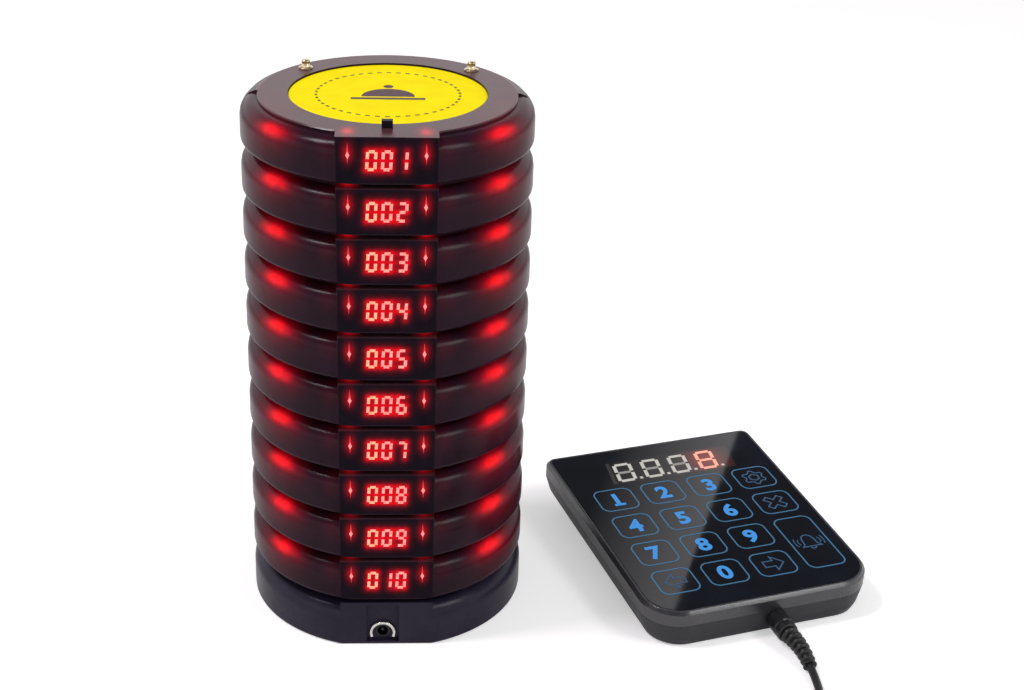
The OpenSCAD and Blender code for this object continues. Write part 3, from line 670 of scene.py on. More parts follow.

# %% [markdown]
# ## Pager covers
# The measured cover has the right shape but knife-sharp edges. A real moulding has small
# rounds there, and they are what catches the light. Each cover is a copy of the solid,
# welded, with its flat faces joined, and every sharp edge bevelled a little. The flat plate
# on top is finer and glossier than the sides. It is also paler, and that paler colour is a
# painted sheen that stands for the light its upward faces reflect. The key on it is plain black.

# %% Pager covers
WELD, FLAT = 2e-6, math.radians(0.4)    # for the measured solids: metres, and an angle


def solid_copy(node):
    """bmesh copy of a measured solid, welded, its flat faces joined."""
    bm = bmesh.new()
    bm.from_mesh(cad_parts[node].data)
    bmesh.ops.remove_doubles(bm, verts=bm.verts, dist=WELD)
    bmesh.ops.dissolve_limit(bm, angle_limit=FLAT, verts=bm.verts, edges=bm.edges)
    return bm


def dressed_copy(node, edge, segments=2, angle=38):
    """Copy of a measured solid, its sharp edges rounded by edge."""
    bm = solid_copy(node)
    limit = math.radians(angle)
    edges = [e for e in bm.edges if len(e.link_faces) == 2 and e.calc_face_angle() > limit]
    bmesh.ops.bevel(bm, geom=edges, offset=edge, segments=segments, profile=0.5,
                    affect="EDGES", material=-1, clamp_overlap=True, loop_slide=True)
    return bm


COVER_EDGE = 0.22 * MM
KEY_HALF, PLATE_EDGE = 1.8 * MM, 0.3 * MM   # half the key's width, and the plate's rounded edge
PLATE_SLOT, KEY_SLOT = 1, 2


def dress_top(bm, plate_z):
    """Give the plate and the key that stands on it their own material slots."""
    for face in bm.faces:
        middle = face.calc_center_median()
        if middle.z > plate_z + 0.02 * MM and abs(middle.x) < KEY_HALF + 0.05 * MM:
            face.material_index = KEY_SLOT
        # upward faces of the plate take the paler copy, whose lighter colour is a painted sheen
        elif middle.z > plate_z - PLATE_EDGE and face.normal.z > 0.5:
            face.material_index = PLATE_SLOT


for number in range(1, PAGERS + 1):
    node = pager(number, "cover")
    cover = dressed_copy(node, COVER_EDGE)
    dress_top(cover, foot_z(number) + PITCH)
    piece = finish_piece(cover, pager(number, "shell"), pager(number),
                         [smoked, smoked_plate_painted_sheen, key_black], [node])
    keep_flats_flat(piece)
    refinish(pager(number, "case"), case_black)
print("last cover:", len(piece.data.polygons), "faces")

# %% [markdown]
# ## Pager numbers and lamps
# Each pager shows its own number on a three-digit display of seven bars a digit. The bars
# are six-sided, lean a little to the right and lie on a thin dark sheet over the flat front.
# The light that spreads round them in the plastic is kept on the sheet itself: every point
# of its fine grid holds how near the lit bars are, and the finish turns that number into a
# red glow. The two lamps beside the number are small four-pointed sparks.

# %% Number displays
BARS = {  # bar: (x, z, upright), in half widths and half heights of the digit
    "a": (0, 1, False), "b": (1, 0.5, True), "c": (1, -0.5, True), "d": (0, -1, False),
    "e": (-1, -0.5, True), "f": (-1, 0.5, True), "g": (0, 0, False)}
DIGITS = {"0": "abcdef", "1": "bc", "2": "abged", "3": "abgcd", "4": "fgbc", "5": "afgcd",
          "6": "afgedc", "7": "abc", "8": "abcdefg", "9": "abcdfg"}
BAR_SPREAD = 0.18 * MM      # the upright bars stand a little apart at the waist


def lit_bars(text, pitch, half_w, half_h):
    """Centre, length between its ends and direction of each lit bar, before the lean."""
    found = []
    for i, digit in enumerate(text):
        middle = (i - (len(text) - 1) / 2) * pitch
        for name in DIGITS[digit]:
            x, z, upright = BARS[name]
            spread = math.copysign(BAR_SPREAD, z) if upright else 0
            found.append((middle + x * half_w, z * half_h + spread,
                          half_h if upright else 2 * half_w, upright))
    return found


def six_sided(bm, x, z, length, width, upright):
    """Flat bar with pointed ends in the XZ plane, facing -Y."""
    made = disc(bm, 6)
    for v in made:
        tip = abs(v.co.y) < 0.01
        along = math.copysign(length / 2 if tip else length / 2 - width / 2, v.co.x)
        across = 0.0 if tip else math.copysign(width / 2, v.co.y)
        v.co = (across, 0, along) if upright else (along, 0, across)
    move(bm, made, (x, 0, z))
    return made


DIGIT_SHAPE = mm(4.95, 1.3, 3.0)        # pitch, half width and half height
BAR_W, BAR_GAP, LEAN = 1.0 * MM, 0.22 * MM, 0.06
SHEET_HALF_W, SHEET_LOW, SHEET_HIGH = BLOCK_HALF - 0.3 * MM, 2.0 * MM, PITCH - 0.4 * MM
SHEET_STEP, SHEET_THICK, BAR_THICK = mm(0.5, 0.03, 0.05)
GLOW_NEAR, GLOW_FAR = (1.2 * MM, 0.5), (2.3 * MM, 0.06)       # reach and strength
SPARK_GLOW = (LIGHT_Z + 0.8 * MM, 1.7 * MM, 3.0 * MM, 0.62)   # height, reaches and strength


def bar_distance(x, z, bar):
    """Distance of a point on the sheet from a bar's middle line."""
    bx, bz, length, upright = bar
    dx, dz = x - z * LEAN - bx, z - bz
    if upright:
        dx, dz = dz, dx
    return math.hypot(max(abs(dx) - length / 2, 0), dz)


def glow_at(x, z, bars):
    """Glow of a point: from the bars, with z counted from the digits' middle, and the sparks."""
    light = 0.0
    for bar in bars:
        far = bar_distance(x, z, bar)
        light += sum(strength * math.exp(-(far / reach) ** 2)
                     for reach, strength in (GLOW_NEAR, GLOW_FAR))
    height, across, up, strength = SPARK_GLOW
    for side in (-1, 1):
        far = math.hypot((x - side * LIGHT_X) / across, (z + DIGIT_Z - height) / up)
        light += strength * math.exp(-far ** 2)
    return min(light, 1.0)


def glow_sheet(bm, bars):
    """Thin sheet over the flat front, its points holding the glow."""
    glow = bm.verts.layers.float.new("glow")
    columns = round(2 * SHEET_HALF_W / SHEET_STEP)
    rows = round((SHEET_HIGH - SHEET_LOW) / SHEET_STEP)
    made = bmesh.ops.create_grid(bm, x_segments=columns, y_segments=rows, size=1)["verts"]
    upright = Matrix.Rotation(math.radians(90), 3, "X")
    bmesh.ops.rotate(bm, cent=(0, 0, 0), verts=made, matrix=upright)
    bmesh.ops.scale(bm, verts=made, vec=(SHEET_HALF_W, 1, (SHEET_HIGH - SHEET_LOW) / 2))
    move(bm, made, (0, -SHEET_THICK, (SHEET_HIGH + SHEET_LOW) / 2 - DIGIT_Z))
    for v in made:
        v[glow] = glow_at(v.co.x, v.co.z, bars)
    extruded(bm, made, (0, SHEET_THICK, 0))


print("bars of 008:", len(lit_bars("008", *DIGIT_SHAPE)))

# %% Display finishes
def lit_from_behind(name):
    """Dark sheet whose points hold how strongly the light behind it shows."""
    material, tree, shader = finish(name, 0.25, specular=0.06)
    place = object_place(tree)
    clouds = noise(tree, place, 5 * MM, 3.0)
    fill(tree, shader.inputs["Base Color"],
         two_tone(tree, clouds, (0.005, 0.002, 0.006), (0.009, 0.004, 0.011)))
    fill(tree, shader.inputs["Roughness"], ramp(tree, clouds, 0.2, 0.8, 0.2, 0.3))
    glow = tree.nodes.new("ShaderNodeAttribute")
    glow.attribute_name = "glow"
    light = times(tree, glow.outputs["Fac"],
                  ramp(tree, noise(tree, place, 1.5 * MM), 0.3, 0.7, 0.9, 1.05))
    fill(tree, shader.inputs["Emission Color"],
         two_tone(tree, light, (0.5, 0.0, 0.006), (0.78, 0.0, 0.004), 0.1, 0.9))
    fill(tree, shader.inputs["Emission Strength"], light)
    return material


def digit_light(name):
    """Bars that are warmer at the left digit, where their light shows through more."""
    material, tree, shader = finish(name, 0.4)
    place = object_place(tree)
    across = parted(tree, place)[0]
    patches = noise(tree, place, 0.8 * MM, 1.0)
    warm = ramp(tree, across, -3.5 * MM, -1.5 * MM, 1.0, 0.0)
    pink_bars = two_tone(tree, patches, (1.0, 0.2, 0.19), (1.0, 0.36, 0.3), 0.35, 0.65)
    amber_bars = two_tone(tree, patches, (1.0, 0.3, 0.15), (1.0, 0.5, 0.3), 0.35, 0.65)
    fill(tree, shader.inputs["Base Color"], (0.3, 0.1, 0.08))
    fill(tree, shader.inputs["Emission Color"], blend(tree, warm, pink_bars, amber_bars))
    shader.inputs["Emission Strength"].default_value = 1.0
    return material


window_dark = lit_from_behind("window_dark")
number_light = digit_light("number_light")
spark_light = glowing("spark_light", (1.0, 0.27, 0.27), 1.0)
spark_streak = glowing("spark_streak", (0.8, 0.02, 0.03), 0.8)
print("display finishes ready")

# %% Numbers on the pagers
SPARKS = [(*mm(7.2, 0.8, 0.6), 3), (*mm(2.5, 1.3, 0), 2)]     # length, width, lift, slot
DISPLAY_FINISHES = [window_dark, number_light, spark_light, spark_streak]
for number in range(1, PAGERS + 1):
    bars = lit_bars(f"{number:03d}", *DIGIT_SHAPE)
    display = bmesh.new()
    glow_sheet(display, bars)
    before = set(display.verts)
    for x, z, length, upright in bars:
        paint(six_sided(display, x, z, length - BAR_GAP + BAR_W / 2, BAR_W, upright), 1)
    for v in since(display, before):
        v.co.x += v.co.z * LEAN
        v.co.y = -SHEET_THICK - BAR_THICK
    for side in (-1, 1):
        for order, (length, width, lift, slot) in enumerate(SPARKS):
            made = disc(display, 4)
            for v in made:
                v.co = (side * LIGHT_X + v.co.x * width / 2,
                        -SHEET_THICK - BAR_THICK * (1 + order) / 2,
                        LIGHT_Z - DIGIT_Z + lift + v.co.y * length / 2)
            paint(made, slot)
    extruded(display, since(display, before), (0, BAR_THICK / 2, 0))
    move(display, display.verts, (0, FRONT_Y, foot_z(number) + DIGIT_Z))
    shown = finish_piece(display, pager(number, "number"), pager(number),
                         DISPLAY_FINISHES)
print("digits:", len(shown.data.polygons), "faces on the last pager")

# %% [markdown]
# ## Labels
# A round yellow label lies in a shallow recess of each top plate. It is printed film: flat
# colour with a faint mottle and a fine orange-peel gloss. The print, a ring of dashes round
# a plain serving dome, is laid on as film a few hundredths of a millimetre thick, so that
# its edges stay crisp from any distance.

# %% Labels
label_yellow = moulded("label_yellow", (0.93, 0.76, 0.004), (1.0, 0.84, 0.008), 0.5,
                       1.2, 0.01, specular=0.01, cloud=9)
print_brown = moulded("print_brown", (0.085, 0.05, 0.06), (0.13, 0.08, 0.09), 0.5,
                      0.3, 0.004, specular=0.1, cloud=1.5)
print_olive = moulded("print_olive", (0.12, 0.1, 0.012), (0.19, 0.16, 0.02), 0.5,
                      0.3, 0.004, specular=0.1, cloud=1.5)
FILM = 0.05 * MM
DOME_AT, DOME_R, DOME_H = mm(0, -3), *mm(9, 8.5)
KNOB_AT, KNOB_R, TRAY = mm(0, 8.2, 0), 1.7 * MM, mm(-12.5, -6.2, 12.5, -4.2)
DASHES, DASH_RING, DASH_HALF_L, DASH_HALF_W = 46, *mm(24.3, 0.8, 0.45)


def flat_box(bm, x0, y0, x1, y1, slot=0):
    """Thin plate of print between two corners, its underside at height 0."""
    return box_in(bm, (x0, y0, 0), (x1, y1, FILM), slot=slot)


def raise_film(bm, verts, slot=0):
    """Give flat print in the XY plane its thickness."""
    paint(list(verts) + extruded(bm, verts, (0, 0, FILM)), slot)


def half_disc(bm, centre, radius, height, steps=18):
    """Half disc of print, flat side down."""
    made = disc(bm, 2 * steps)
    for v in made:
        v.co = (centre[0] + v.co.x * radius, centre[1] + max(v.co.y, 0) * height, 0)
    bmesh.ops.remove_doubles(bm, verts=made, dist=MERGE)
    raise_film(bm, [v for v in made if v.is_valid])


for number in range(1, PAGERS + 1):
    sheet = bmesh.new()
    for k in range(DASHES):
        made = flat_box(sheet, -DASH_HALF_L, DASH_RING - DASH_HALF_W, DASH_HALF_L,
                        DASH_RING + DASH_HALF_W, slot=1)
        bmesh.ops.rotate(sheet, cent=(0, 0, 0), verts=made,
                         matrix=Matrix.Rotation(2 * math.pi * k / DASHES, 3, "Z"))
    half_disc(sheet, DOME_AT, DOME_R, DOME_H)
    flat_box(sheet, *TRAY)
    knob = disc(sheet, 20, KNOB_R)
    move(sheet, knob, KNOB_AT)
    raise_film(sheet, knob)
    move(sheet, sheet.verts, (0, 0, foot_z(number) + LABEL_TOP))
    finish_piece(sheet, pager(number, "print"), pager(number),
                 [print_brown, print_olive])
    refinish(pager(number, "label"), label_yellow)
print("labels printed:", PAGERS)

# %% [markdown]
# ## Inside a pager
# Under the cover are a green circuit board, a battery in silver foil, a round vibration
# motor and the lamps. They are copied from the solid as one piece, and each loose part gets
# its own finish, chosen by where it is. The plain contact pins are left out of the copy and
# turned anew, with the flange and the groove of a real contact.

# %% Inside a pager
board_green = moulded("board_green", (0.01, 0.07, 0.03), (0.02, 0.12, 0.05), 0.35,
                      0.9, 0.02, cloud=6)
foil_silver = moulded("foil_silver", (0.4, 0.4, 0.42), (0.6, 0.6, 0.62), 0.38,
                      1.5, 0.06, metallic=1.0)
chip_black = moulded("chip_black", (0.012, 0.012, 0.013), (0.022, 0.022, 0.024), 0.5,
                     0.4, 0.02)
lamp_red = moulded("lamp_red", (0.25, 0.004, 0.004), (0.4, 0.01, 0.008), 0.25,
                   0.5, 0.01)
WORKS = [board_green, foil_silver, chip_black, lamp_red, screw_steel, brass]
BOARD, FOIL, CHIP, LAMP, SCREW, CONTACT = range(len(WORKS))
# what tells the loose parts apart: widths, a thickness, a place to the right and a height
BOARD_W, UPRIGHT_W, UPRIGHT_T, CELL_W, MOTOR_X, CHIP_W, SCREW_Z = mm(60, 25, 2, 30, 18, 7, 2)
PIN_LOW, BASE_PIN_LOW = mm(3.4, 10.9)   # where the pins' shanks end, above foot and table


def loose_parts(bm):
    """Lists of vertices that hang together."""
    left, parts = set(bm.verts), []
    while left:
        todo, part = [left.pop()], []
        while todo:
            v = todo.pop()
            part.append(v)
            for edge in v.link_edges:
                other = edge.other_vert(v)
                if other in left:
                    left.remove(other)
                    todo.append(other)
        parts.append(part)
    return parts


def span(verts, axis):
    values = [v.co[axis] for v in verts]
    return min(values), max(values)


PIN_PROFILE = [(0, -9), (1.45, -9), (1.45, 0.0), (2.4, 0.0), (2.55, 0.15), (2.55, 0.45),
               (2.4, 0.6), (1.5, 0.66), (1.45, 0.75), (1.45, 1.5), (1.25, 1.65), (1.25, 1.8),
               (1.45, 1.95), (1.45, 2.85), (1.3, 3.1), (1.0, 3.2), (0, 3.2)]


def turned_pins(bm, plate_z, slot, low):
    """Both contact pins on a plate at this height, their shanks cut off at low."""
    for x, y in PIN_SPOTS:
        profile = [(r * MM, max(z * MM, low - plate_z)) for r, z in PIN_PROFILE]
        lathe(bm, profile, (x, y, plate_z), 28, slot)


for number in range(1, PAGERS + 1):
    foot = foot_z(number)
    works = solid_copy(pager(number, "internals"))
    drop = []
    for part in loose_parts(works):
        (x0, x1), (y0, y1), (z0, z1) = (span(part, axis) for axis in range(3))
        wide, z0 = x1 - x0, z0 - foot
        if z1 > foot + PITCH:
            drop += part
            continue
        slot = (BOARD if wide > BOARD_W or (wide > UPRIGHT_W and y1 - y0 < UPRIGHT_T)
                else FOIL if wide > CELL_W or (x0 > MOTOR_X and wide > CHIP_W)
                else CHIP if wide > CHIP_W
                else SCREW if z0 < SCREW_Z else LAMP)
        paint(part, slot)
    bmesh.ops.delete(works, geom=drop, context="VERTS")
    turned_pins(works, foot + PITCH, CONTACT, foot + PIN_LOW)
    finish_piece(works, pager(number, "works"), pager(number),
                 WORKS, [pager(number, "internals")])
print("insides dressed:", PAGERS)

# %% [markdown]
# ## The charging base
# The base has a pager's shape without lamps. Its front has a niche with the power jack, and
# a bright ring wraps the jack's upper part.

# %% Charging base
base = dressed_copy("base_case", COVER_EDGE)
dress_top(base, BASE_TOP)
keep_flats_flat(finish_piece(base, "base_cover", "table_set",
                             [smoked_unlit, smoked_unlit, key_black], ["base_case"]))

base_pins = bmesh.new()
turned_pins(base_pins, BASE_TOP, 0, BASE_PIN_LOW)
finish_piece(base_pins, "base_contacts", "table_set", [brass], ["base_pins"])

jack_plastic = moulded("jack_plastic", (0.004, 0.004, 0.005), (0.009, 0.009, 0.01), 0.45,
                       0.3, 0.02)


for part, material in (("bottom", case_black), ("board", board_green), ("dc_jack", jack_plastic),
                       ("foot_pad", foot_rubber), ("screws", screw_steel)):
    refinish(f"base_{part}", material)
ring = dressed_copy("base_jack_ring", 0.25 * MM, 3)
finish_piece(ring, "base_ring", "table_set", [nickel], ["base_jack_ring"])
print("base dressed")

# %% [markdown]
# ## The keypad
# The keypad is a black case with a bezel round a sheet of black glass. The case is fine
# matt moulding. The bezel's chamfer is glossier and catches a bright line along its near
# edge. The glass is black from behind, and the sheet has a smoky window over the display.

# %% Keypad shell
shell_black = moulded("shell_black", (0.028, 0.028, 0.033), (0.04, 0.04, 0.046), 0.4,
                      0.35, 0.03, specular=0.3)
rim_black = moulded("rim_black", (0.026, 0.026, 0.032), (0.038, 0.038, 0.046), 0.24,
                    0.4, 0.008, specular=0.85)
for name, slot, material, node, edge in (
        ("keypad_body", "keypad_shell", shell_black, "keypad_case", 0.3),
        ("keypad_frame", "keypad_rim", rim_black, "keypad_bezel", 0.15)):
    bm = dressed_copy(node, edge * MM, angle=30)
    keep_flats_flat(finish_piece(bm, name, "table_set", [material], [node]))


def glass_place(tree):
    """Place on the glass: across, back from the near edge, and up from its face."""
    node = tree.nodes.new("ShaderNodeMapping")
    node.vector_type = "TEXTURE"
    fill(tree, node.inputs["Vector"], object_place(tree))
    node.inputs["Location"].default_value = (*KEYPAD_AT, TOP_FRONT_Z)
    node.inputs["Rotation"].default_value = (KEYPAD_TILT, 0, KEYPAD_HEADING)
    return node.outputs[0]


WINDOW = ((-26 * MM, 84 * MM), (29 * MM, 100 * MM))
WINDOW_LEAN, WINDOW_FADE = 0.15, 0.8 * MM
LIT_DIGIT, LIT_REACH = mm(18.3, 91.7, 0), mm(7, 8, 9)


def black_glass():
    """Glass, black from behind, with a smoky window and the lit digit's halo."""
    material, tree, shader = finish("black_glass", 0.06)
    place = glass_place(tree)
    across, back, _ = parted(tree, place)
    (x0, y0), (x1, y1) = WINDOW
    leaning = minus(tree, across, times(tree, minus(tree, back, y0), WINDOW_LEAN))
    inside = 1.0
    for value, low, high in ((leaning, x0, x1), (back, y0, y1)):
        for near, far in ((low, low + WINDOW_FADE), (high, high - WINDOW_FADE)):
            inside = times(tree, inside, ramp(tree, value, near, far, smooth=True))
    edge = times(tree, inside,
                 ramp(tree, leaning, x0 + 1.6 * MM, x0 + 2.2 * MM, 1.0, 0.0, smooth=True))
    smudge = noise(tree, place, 18 * MM, 4.0)
    sheet = two_tone(tree, smudge, (0.003, 0.004, 0.008), (0.005, 0.008, 0.016))
    face = blend(tree, edge, (0.02, 0.018, 0.019), (0.075, 0.075, 0.07))
    fill(tree, shader.inputs["Base Color"], blend(tree, inside, sheet, face))
    fill(tree, shader.inputs["Roughness"], ramp(tree, smudge, 0.3, 0.75, 0.02, 0.045))
    halo = soft_spot(tree, place, LIT_DIGIT, LIT_REACH)
    fill(tree, shader.inputs["Emission Color"], (1.0, 0.05, 0.03))
    fill(tree, shader.inputs["Emission Strength"], times(tree, times(tree, halo, inside), 0.2))
    return material


for part, material in (("glass", black_glass()), ("board", board_green), ("display", chip_black),
                       ("dc_jack", jack_plastic), ("feet", foot_rubber), ("screws", screw_steel)):
    refinish(f"keypad_{part}", material)
print("keypad shell dressed")

# %% [markdown]
# ## Prints on the glass
# The touch keys are outlines and symbols printed on the back of the glass and lit in blue.
# They are laid on the glass as film a few hundredths of a millimetre thick: a rounded
# outline for each key, a bold number from the editor's own font, and simple generic
# symbols. The four big digits of the display are made of the pagers' bars. Only the last
# one is lit. The other three are unlit pale bars, yet they glow too: painted light for what their
# pale faces reflect.

# %% Print finishes
key_line = glowing("key_line", (0.03, 0.13, 0.25), 1.0)
key_blue = glowing("key_blue", (0.03, 0.25, 0.65), 1.0)
key_dim = glowing("key_dim", (0.018, 0.07, 0.15), 1.0)
# the unlit pale and fainter bars get a glow of their own, painted light that stands in for what
# their pale faces reflect
bar_pale_painted_glow = glowing("bar_pale_painted_glow", (0.52, 0.5, 0.47), 0.95)
bar_faint_painted_glow = glowing("bar_faint_painted_glow", (0.26, 0.25, 0.24), 0.95)
bar_lit = glowing("bar_lit", (1.0, 0.42, 0.3), 1.0)
PRINTS = [key_line, key_blue, key_dim, bar_pale_painted_glow, bar_faint_painted_glow, bar_lit]
LINE, BLUE, DIM, PALE, FAINT, LIT = range(len(PRINTS))
print("print finishes:", len(PRINTS))

# %% Key outlines
KEY_PITCH_U, KEY_PITCH_V = 20.1 * MM, 18.65 * MM
KEY_U0, KEY_V0 = 1.3 * MM - 1.5 * KEY_PITCH_U, 18.2 * MM
KEY_W, KEY_L, KEY_ROUND, KEY_STROKE = mm(16, 14.8, 3.6, 0.55)


def key_centre(column, row):
    """Centre of a key on the glass. Rows are counted from the near edge."""
    return KEY_U0 + column * KEY_PITCH_U, KEY_V0 + row * KEY_PITCH_V


def rounded_plate(bm, centre, width, length, corner, arc=7):
    """Flat rectangle with rounded corners."""
    made = disc(bm, 4 * arc)
    bmesh.ops.rotate(bm, cent=(0, 0, 0), verts=made,
                     matrix=Matrix.Rotation(math.pi / (4 * arc), 3, "Z"))
    for v in made:
        v.co = [middle + math.copysign(size / 2 - corner, c) + corner * c
                for middle, size, c in zip(centre, (width, length), v.co)] + [0]
    return made


def key_outline(bm, centre, length):
    """Rounded outline of a key, one stroke wide."""
    faces = faces_of(rounded_plate(bm, centre, KEY_W, length, KEY_ROUND))
    rim = bmesh.ops.inset_region(bm, faces=faces, thickness=KEY_STROKE, use_boundary=True,
                                 use_even_offset=True)["faces"]
    bmesh.ops.delete(bm, geom=faces, context="FACES")
    raise_film(bm, list({v for f in rim for v in f.verts}), LINE)


prints = bmesh.new()
TALL_COLUMN, TALL_ROWS = 3, (0, 1)
for column in range(4):
    for row in range(4):
        if column != TALL_COLUMN or row not in TALL_ROWS:
            key_outline(prints, key_centre(column, row), KEY_L)
tall = [sum(c) / 2 for c in zip(*(key_centre(TALL_COLUMN, row) for row in TALL_ROWS))]
key_outline(prints, tall, KEY_L + KEY_PITCH_V)
print("key outlines:", len(prints.faces), "faces")

# %% Numbers on the keys
DIGIT_SIZE, DIGIT_BOLD = 10.8 * MM, 0.36 * MM
NUMBER_KEYS = {"1": (0, 3), "2": (1, 3), "3": (2, 3), "4": (0, 2), "5": (1, 2), "6": (2, 2),
               "7": (0, 1), "8": (1, 1), "9": (2, 1), "0": (1, 0)}


def number_print(bm, text, centre):
    """Bold number, centred on a key. Returns its height."""
    data = bpy.data.curves.new("key_number", "FONT")
    data.body, data.size, data.offset, data.resolution_u = text, DIGIT_SIZE, DIGIT_BOLD, 5
    data.fill_mode = "FRONT"
    flat = bpy.data.objects.new("key_number", data)
    mesh = bpy.data.meshes.new_from_object(flat)
    bpy.data.objects.remove(flat)
    before = set(bm.verts)
    bm.from_mesh(mesh)
    made = merged_since(bm, before)
    low, high = ([f(v.co[a] for v in made) for a in (0, 1)] for f in (min, max))
    move(bm, made, [c - (a + b) / 2 for c, a, b in zip(centre, low, high)] + [0])
    raise_film(bm, made, BLUE)
    return high[1] - low[1]


for text, (column, row) in NUMBER_KEYS.items():
    digit_tall = number_print(prints, text, key_centre(column, row))
u, v = key_centre(*NUMBER_KEYS["1"])
foot_of_one = flat_box(prints, *mm(-2.3, 0, 2.3, 1.3), slot=BLUE)
move(prints, foot_of_one, (u + 0.3 * MM, v - digit_tall / 2, 0))
print("numbers are", round(digit_tall / MM, 2), "mm tall")

# %% Symbols on the keys
SYMBOL_STROKE = 0.55 * MM


def stroke(bm, points, width=SYMBOL_STROKE, closed=True):
    """Dim print line of one width through flat points, with mitred corners."""
    points = [Vector(p) for p in points]
    count = len(points)
    left, right = [], []
    for i, p in enumerate(points):
        before = points[i - 1] if closed or i else None
        after = points[(i + 1) % count] if closed or i < count - 1 else None
        a = (p - before).normalized() if before else None
        b = (after - p).normalized() if after else None
        a, b = a or b, b or a
        side = Vector((-(a + b).y, (a + b).x)).normalized()
        reach = width / 2 / max(side.dot(Vector((-a.y, a.x))), 0.35)
        left.append(bm.verts.new((*(p + side * reach), 0)))
        right.append(bm.verts.new((*(p - side * reach), 0)))
    edges = []
    for line in (left, right):
        pairs = list(zip(line, line[1:])) + ([(line[-1], line[0])] if closed else [])
        edges += [bm.edges.new(pair) for pair in pairs]
    if not closed:
        edges += [bm.edges.new((left[0], right[0])), bm.edges.new((left[-1], right[-1]))]
        bmesh.ops.holes_fill(bm, edges=edges, sides=0)
    else:
        bmesh.ops.bridge_loops(bm, edges=edges)
    raise_film(bm, left + right, DIM)


def polar(centre, radius, degrees):
    return (centre[0] + radius * math.cos(math.radians(degrees)),
            centre[1] + radius * math.sin(math.radians(degrees)))


def around(centre, places):
    return [(centre[0] + u * MM, centre[1] + v * MM) for u, v in places]


# a six-lobed wheel with a bolt in the middle, for the settings
wheel = key_centre(3, 3)
stroke(prints, [polar(wheel, (4.7 if k % 4 in (1, 2) else 3.5) * MM, k * 15 + 7.5)
                for k in range(24)])
stroke(prints, [polar(wheel, 2.2 * MM, k * 60 + 30) for k in range(6)])
# a broad diagonal cross, for clear
CROSS = [(1.8, 0), (4.1, 2.3), (2.3, 4.1), (0, 1.8), (-2.3, 4.1), (-4.1, 2.3), (-1.8, 0),
         (-4.1, -2.3), (-2.3, -4.1), (0, -1.8), (2.3, -4.1), (4.1, -2.3)]
stroke(prints, around(key_centre(3, 2), CROSS))
# two block arrows, for back and forward
ARROW = [(4.3, 0), (0.2, 4.2), (0.2, 1.7), (-3.9, 1.7), (-3.9, -1.7), (0.2, -1.7), (0.2, -4.2)]
stroke(prints, around(key_centre(2, 0), ARROW))
stroke(prints, around(key_centre(0, 0), [(-u, v) for u, v in ARROW[::-1]]))
# a bell with waves on both sides, for calling a guest
BELL = [(-3.9, -3.2), (-2.7, -1.8), (-2.5, 1.3), (-1.9, 3.1), (-0.8, 4.0), (0, 4.2), (0.8, 4.0),
        (1.9, 3.1), (2.5, 1.3), (2.7, -1.8), (3.9, -3.2)]
CLAPPER = [(-1.2, -3.9), (-0.6, -4.6), (0.6, -4.6), (1.2, -3.9)]
stroke(prints, around(tall, BELL))
stroke(prints, around(tall, CLAPPER), closed=False)
for side in (-1, 1):
    for reach, half in ((4.6, 1.7), (6.0, 2.6)):
        wave = [(side * (reach - 0.5), half), (side * reach, half * 0.4),
                (side * reach, -half * 0.4), (side * (reach - 0.5), -half)]
        stroke(prints, around(tall, wave), SYMBOL_STROKE * 0.8, closed=False)
print("with symbols:", len(prints.faces), "faces")

# %% Big digits under the glass
BIG_PITCH, BIG_HALF_W, BIG_HALF_H, BIG_BAR = mm(12.05, 3.3, 5.7, 1.5)
BIG_MIDDLE, BIG_LEAN, DOT = mm(0.2, 91.7), 0.14, 1.3 * MM
for i in range(4):
    lit = i == 3
    centre = (BIG_MIDDLE[0] + (i - 1.5) * BIG_PITCH, BIG_MIDDLE[1])
    for x, z, length, upright in lit_bars("8", 0, BIG_HALF_W, BIG_HALF_H):
        made = six_sided(prints, x, z, length - BAR_GAP + BIG_BAR / 2, BIG_BAR, upright)
        for v in made:
            v.co = (centre[0] + v.co.x + v.co.z * BIG_LEAN, centre[1] + v.co.z, 0)
        middle_bar = not upright and z == 0
        raise_film(prints, made, LIT if lit else FAINT if middle_bar else PALE)
    dot = (centre[0] + BIG_HALF_W + 1.2 * MM, centre[1] - BIG_HALF_H - 0.3 * MM)
    flat_box(prints, *dot, dot[0] + DOT, dot[1] + DOT, slot=PALE)
bmesh.ops.transform(prints, matrix=on_glass @ Matrix.Translation((0, 0, 0.01 * MM)),
                    verts=prints.verts)
key_prints = finish_piece(prints, "keypad_prints", "table_set", PRINTS)
print("prints:", len(key_prints.data.polygons), "faces")

# %% [markdown]
# ## Floor and light
# The set stands on a plain pale floor that reads as white. The floor's colour carries that:
# seen by the camera, or mirrored in gloss, it adds a little light of its own, and it keeps
# the shadows. Two large soft lamps and an even surround light the set. What gloss mirrors is
# a pale wall low down and a dim ceiling above it. The ceiling has one lighter panel, whose
# edge the keypad's glass shows as a diagonal.

# %% Floor
floor_mesh = bmesh.new()
bmesh.ops.create_grid(floor_mesh, x_segments=1, y_segments=1, size=6)
floor_data = bpy.data.meshes.new("floor")
floor_mesh.to_mesh(floor_data)
floor_mesh.free()
floor = placed("floor", floor_data)


def seen_rays(tree, straight=1.0, mirrored=1.0):
    """Strength for what the camera sees straight, and for what gloss or glass shows it."""
    ray = tree.nodes.new("ShaderNodeLightPath")
    indirect = maths(tree, "MAXIMUM", ray.outputs["Is Glossy Ray"],
                     ray.outputs["Is Transmission Ray"])
    return add(tree, times(tree, ray.outputs["Is Camera Ray"], straight),
               times(tree, indirect, mirrored))


pale, tree, shader = finish("pale_floor", 0.8, specular=0.1)
fill(tree, shader.inputs["Base Color"], (0.82, 0.82, 0.82))
fill(tree, shader.inputs["Emission Color"], (1, 1, 1))
fill(tree, shader.inputs["Emission Strength"], seen_rays(tree, 0.45, 0.15))
floor_data.materials.append(pale)
print("floor:", [round(v, 1) for v in floor.dimensions])

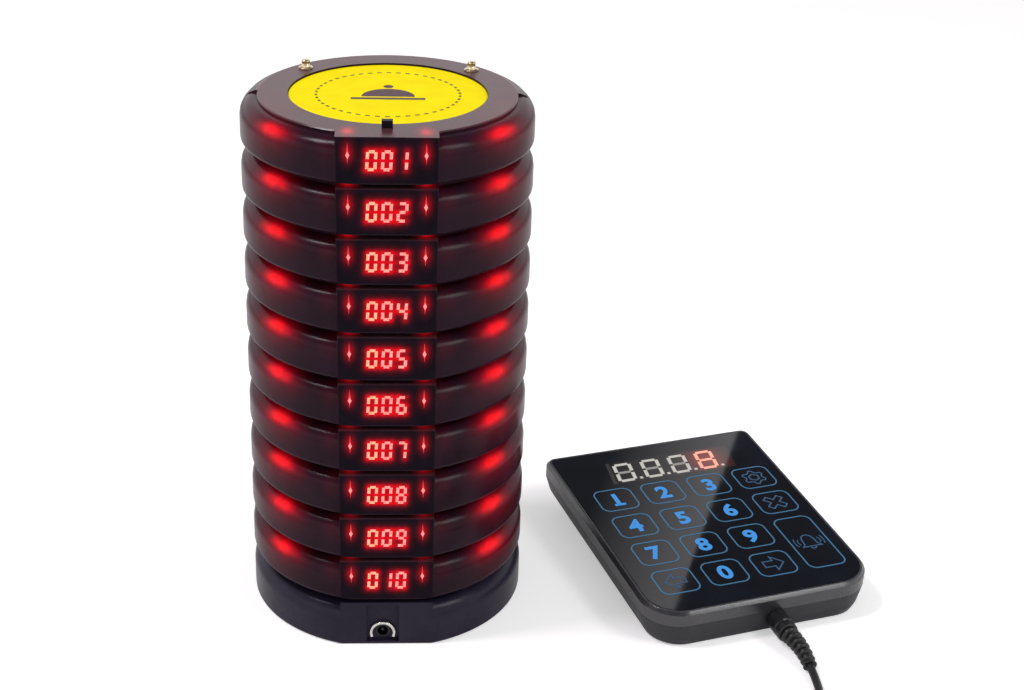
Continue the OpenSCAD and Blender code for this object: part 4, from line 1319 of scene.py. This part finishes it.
# %% Lamps
def lamp(name, place, target, size, power, colour=(1, 1, 1)):
    """Square soft lamp at a place, facing a target."""
    data = bpy.data.lights.new(name, "AREA")
    data.shape, data.size, data.energy, data.color = "SQUARE", size, power, colour
    facing = (Vector(target) - Vector(place)).to_track_quat("-Z", "Y").to_matrix().to_4x4()
    placed(name, data).matrix_world = Matrix.Translation(place) @ facing


lamp("key_lamp", (-0.84, -0.12, 1.5), (0.05, 0, 0.1), 0.34, 13.5, (1.0, 0.95, 1.0))
lamp("side_lamp", (0.91, -0.53, 1.0), (0.1, 0, 0.05), 0.42, 5)

# %% Surround
EDGE_FAR, EDGE_NEAR = mm(41.0, 108.0, 0), mm(-35.8, 3.1, 0)     # ends of the diagonal
LEFT_CORNER = mm(-38, 100, 0)


def panel_edge():
    """Normal of the plane that the mirrored view and a diagonal on the glass span."""
    face = on_glass.col[2].to_3d().normalized()
    corner = on_glass.translation
    mirrored = CAMERA_AT - 2 * (CAMERA_AT - corner).dot(face) * face
    far, near = (on_glass @ Vector(p) - mirrored for p in (EDGE_FAR, EDGE_NEAR))
    normal = far.cross(near).normalized()
    left_corner = on_glass @ Vector(LEFT_CORNER) - mirrored
    return normal if normal.dot(left_corner) > 0 else -normal


AMBIENT, WALL, CEILING, PANEL = 0.42, 1.2, 0.1, 1.15
world = bpy.data.worlds.new("studio")
world.use_nodes = True
tree = world.node_tree
ahead = tree.nodes.new("ShaderNodeTexCoord").outputs["Generated"]
past_edge = vector_maths(tree, "DOT_PRODUCT", ahead, panel_edge())
PANEL_SHARP, PANEL_FADE, PANEL_END = 0.0006, 0.062, 0.02
panel = times(tree, ramp(tree, past_edge, 0.0, PANEL_SHARP),
              ramp(tree, past_edge, 0.0, PANEL_FADE, PANEL, PANEL_END))
WALL_TOP, CEILING_FROM = math.radians(27), math.radians(33)
up = ramp(tree, parted(tree, ahead)[2], math.sin(WALL_TOP), math.sin(CEILING_FROM), smooth=True)


def between(tree, factor, low, high):
    """Number between low and high."""
    return add(tree, times(tree, factor, high), times(tree, minus(tree, 1.0, factor), low))


mirrored = between(tree, up, WALL, add(tree, panel, CEILING))
strength = between(tree, seen_rays(tree), AMBIENT, mirrored)
background = tree.nodes["Background"]
background.inputs["Color"].default_value = (1.0, 0.97, 0.985, 1)
fill(tree, background.inputs["Strength"], strength)
bpy.context.scene.world = world
bpy.context.scene.view_settings.view_transform = "Standard"
print("panel edge faces", [round(v, 3) for v in panel_edge()])
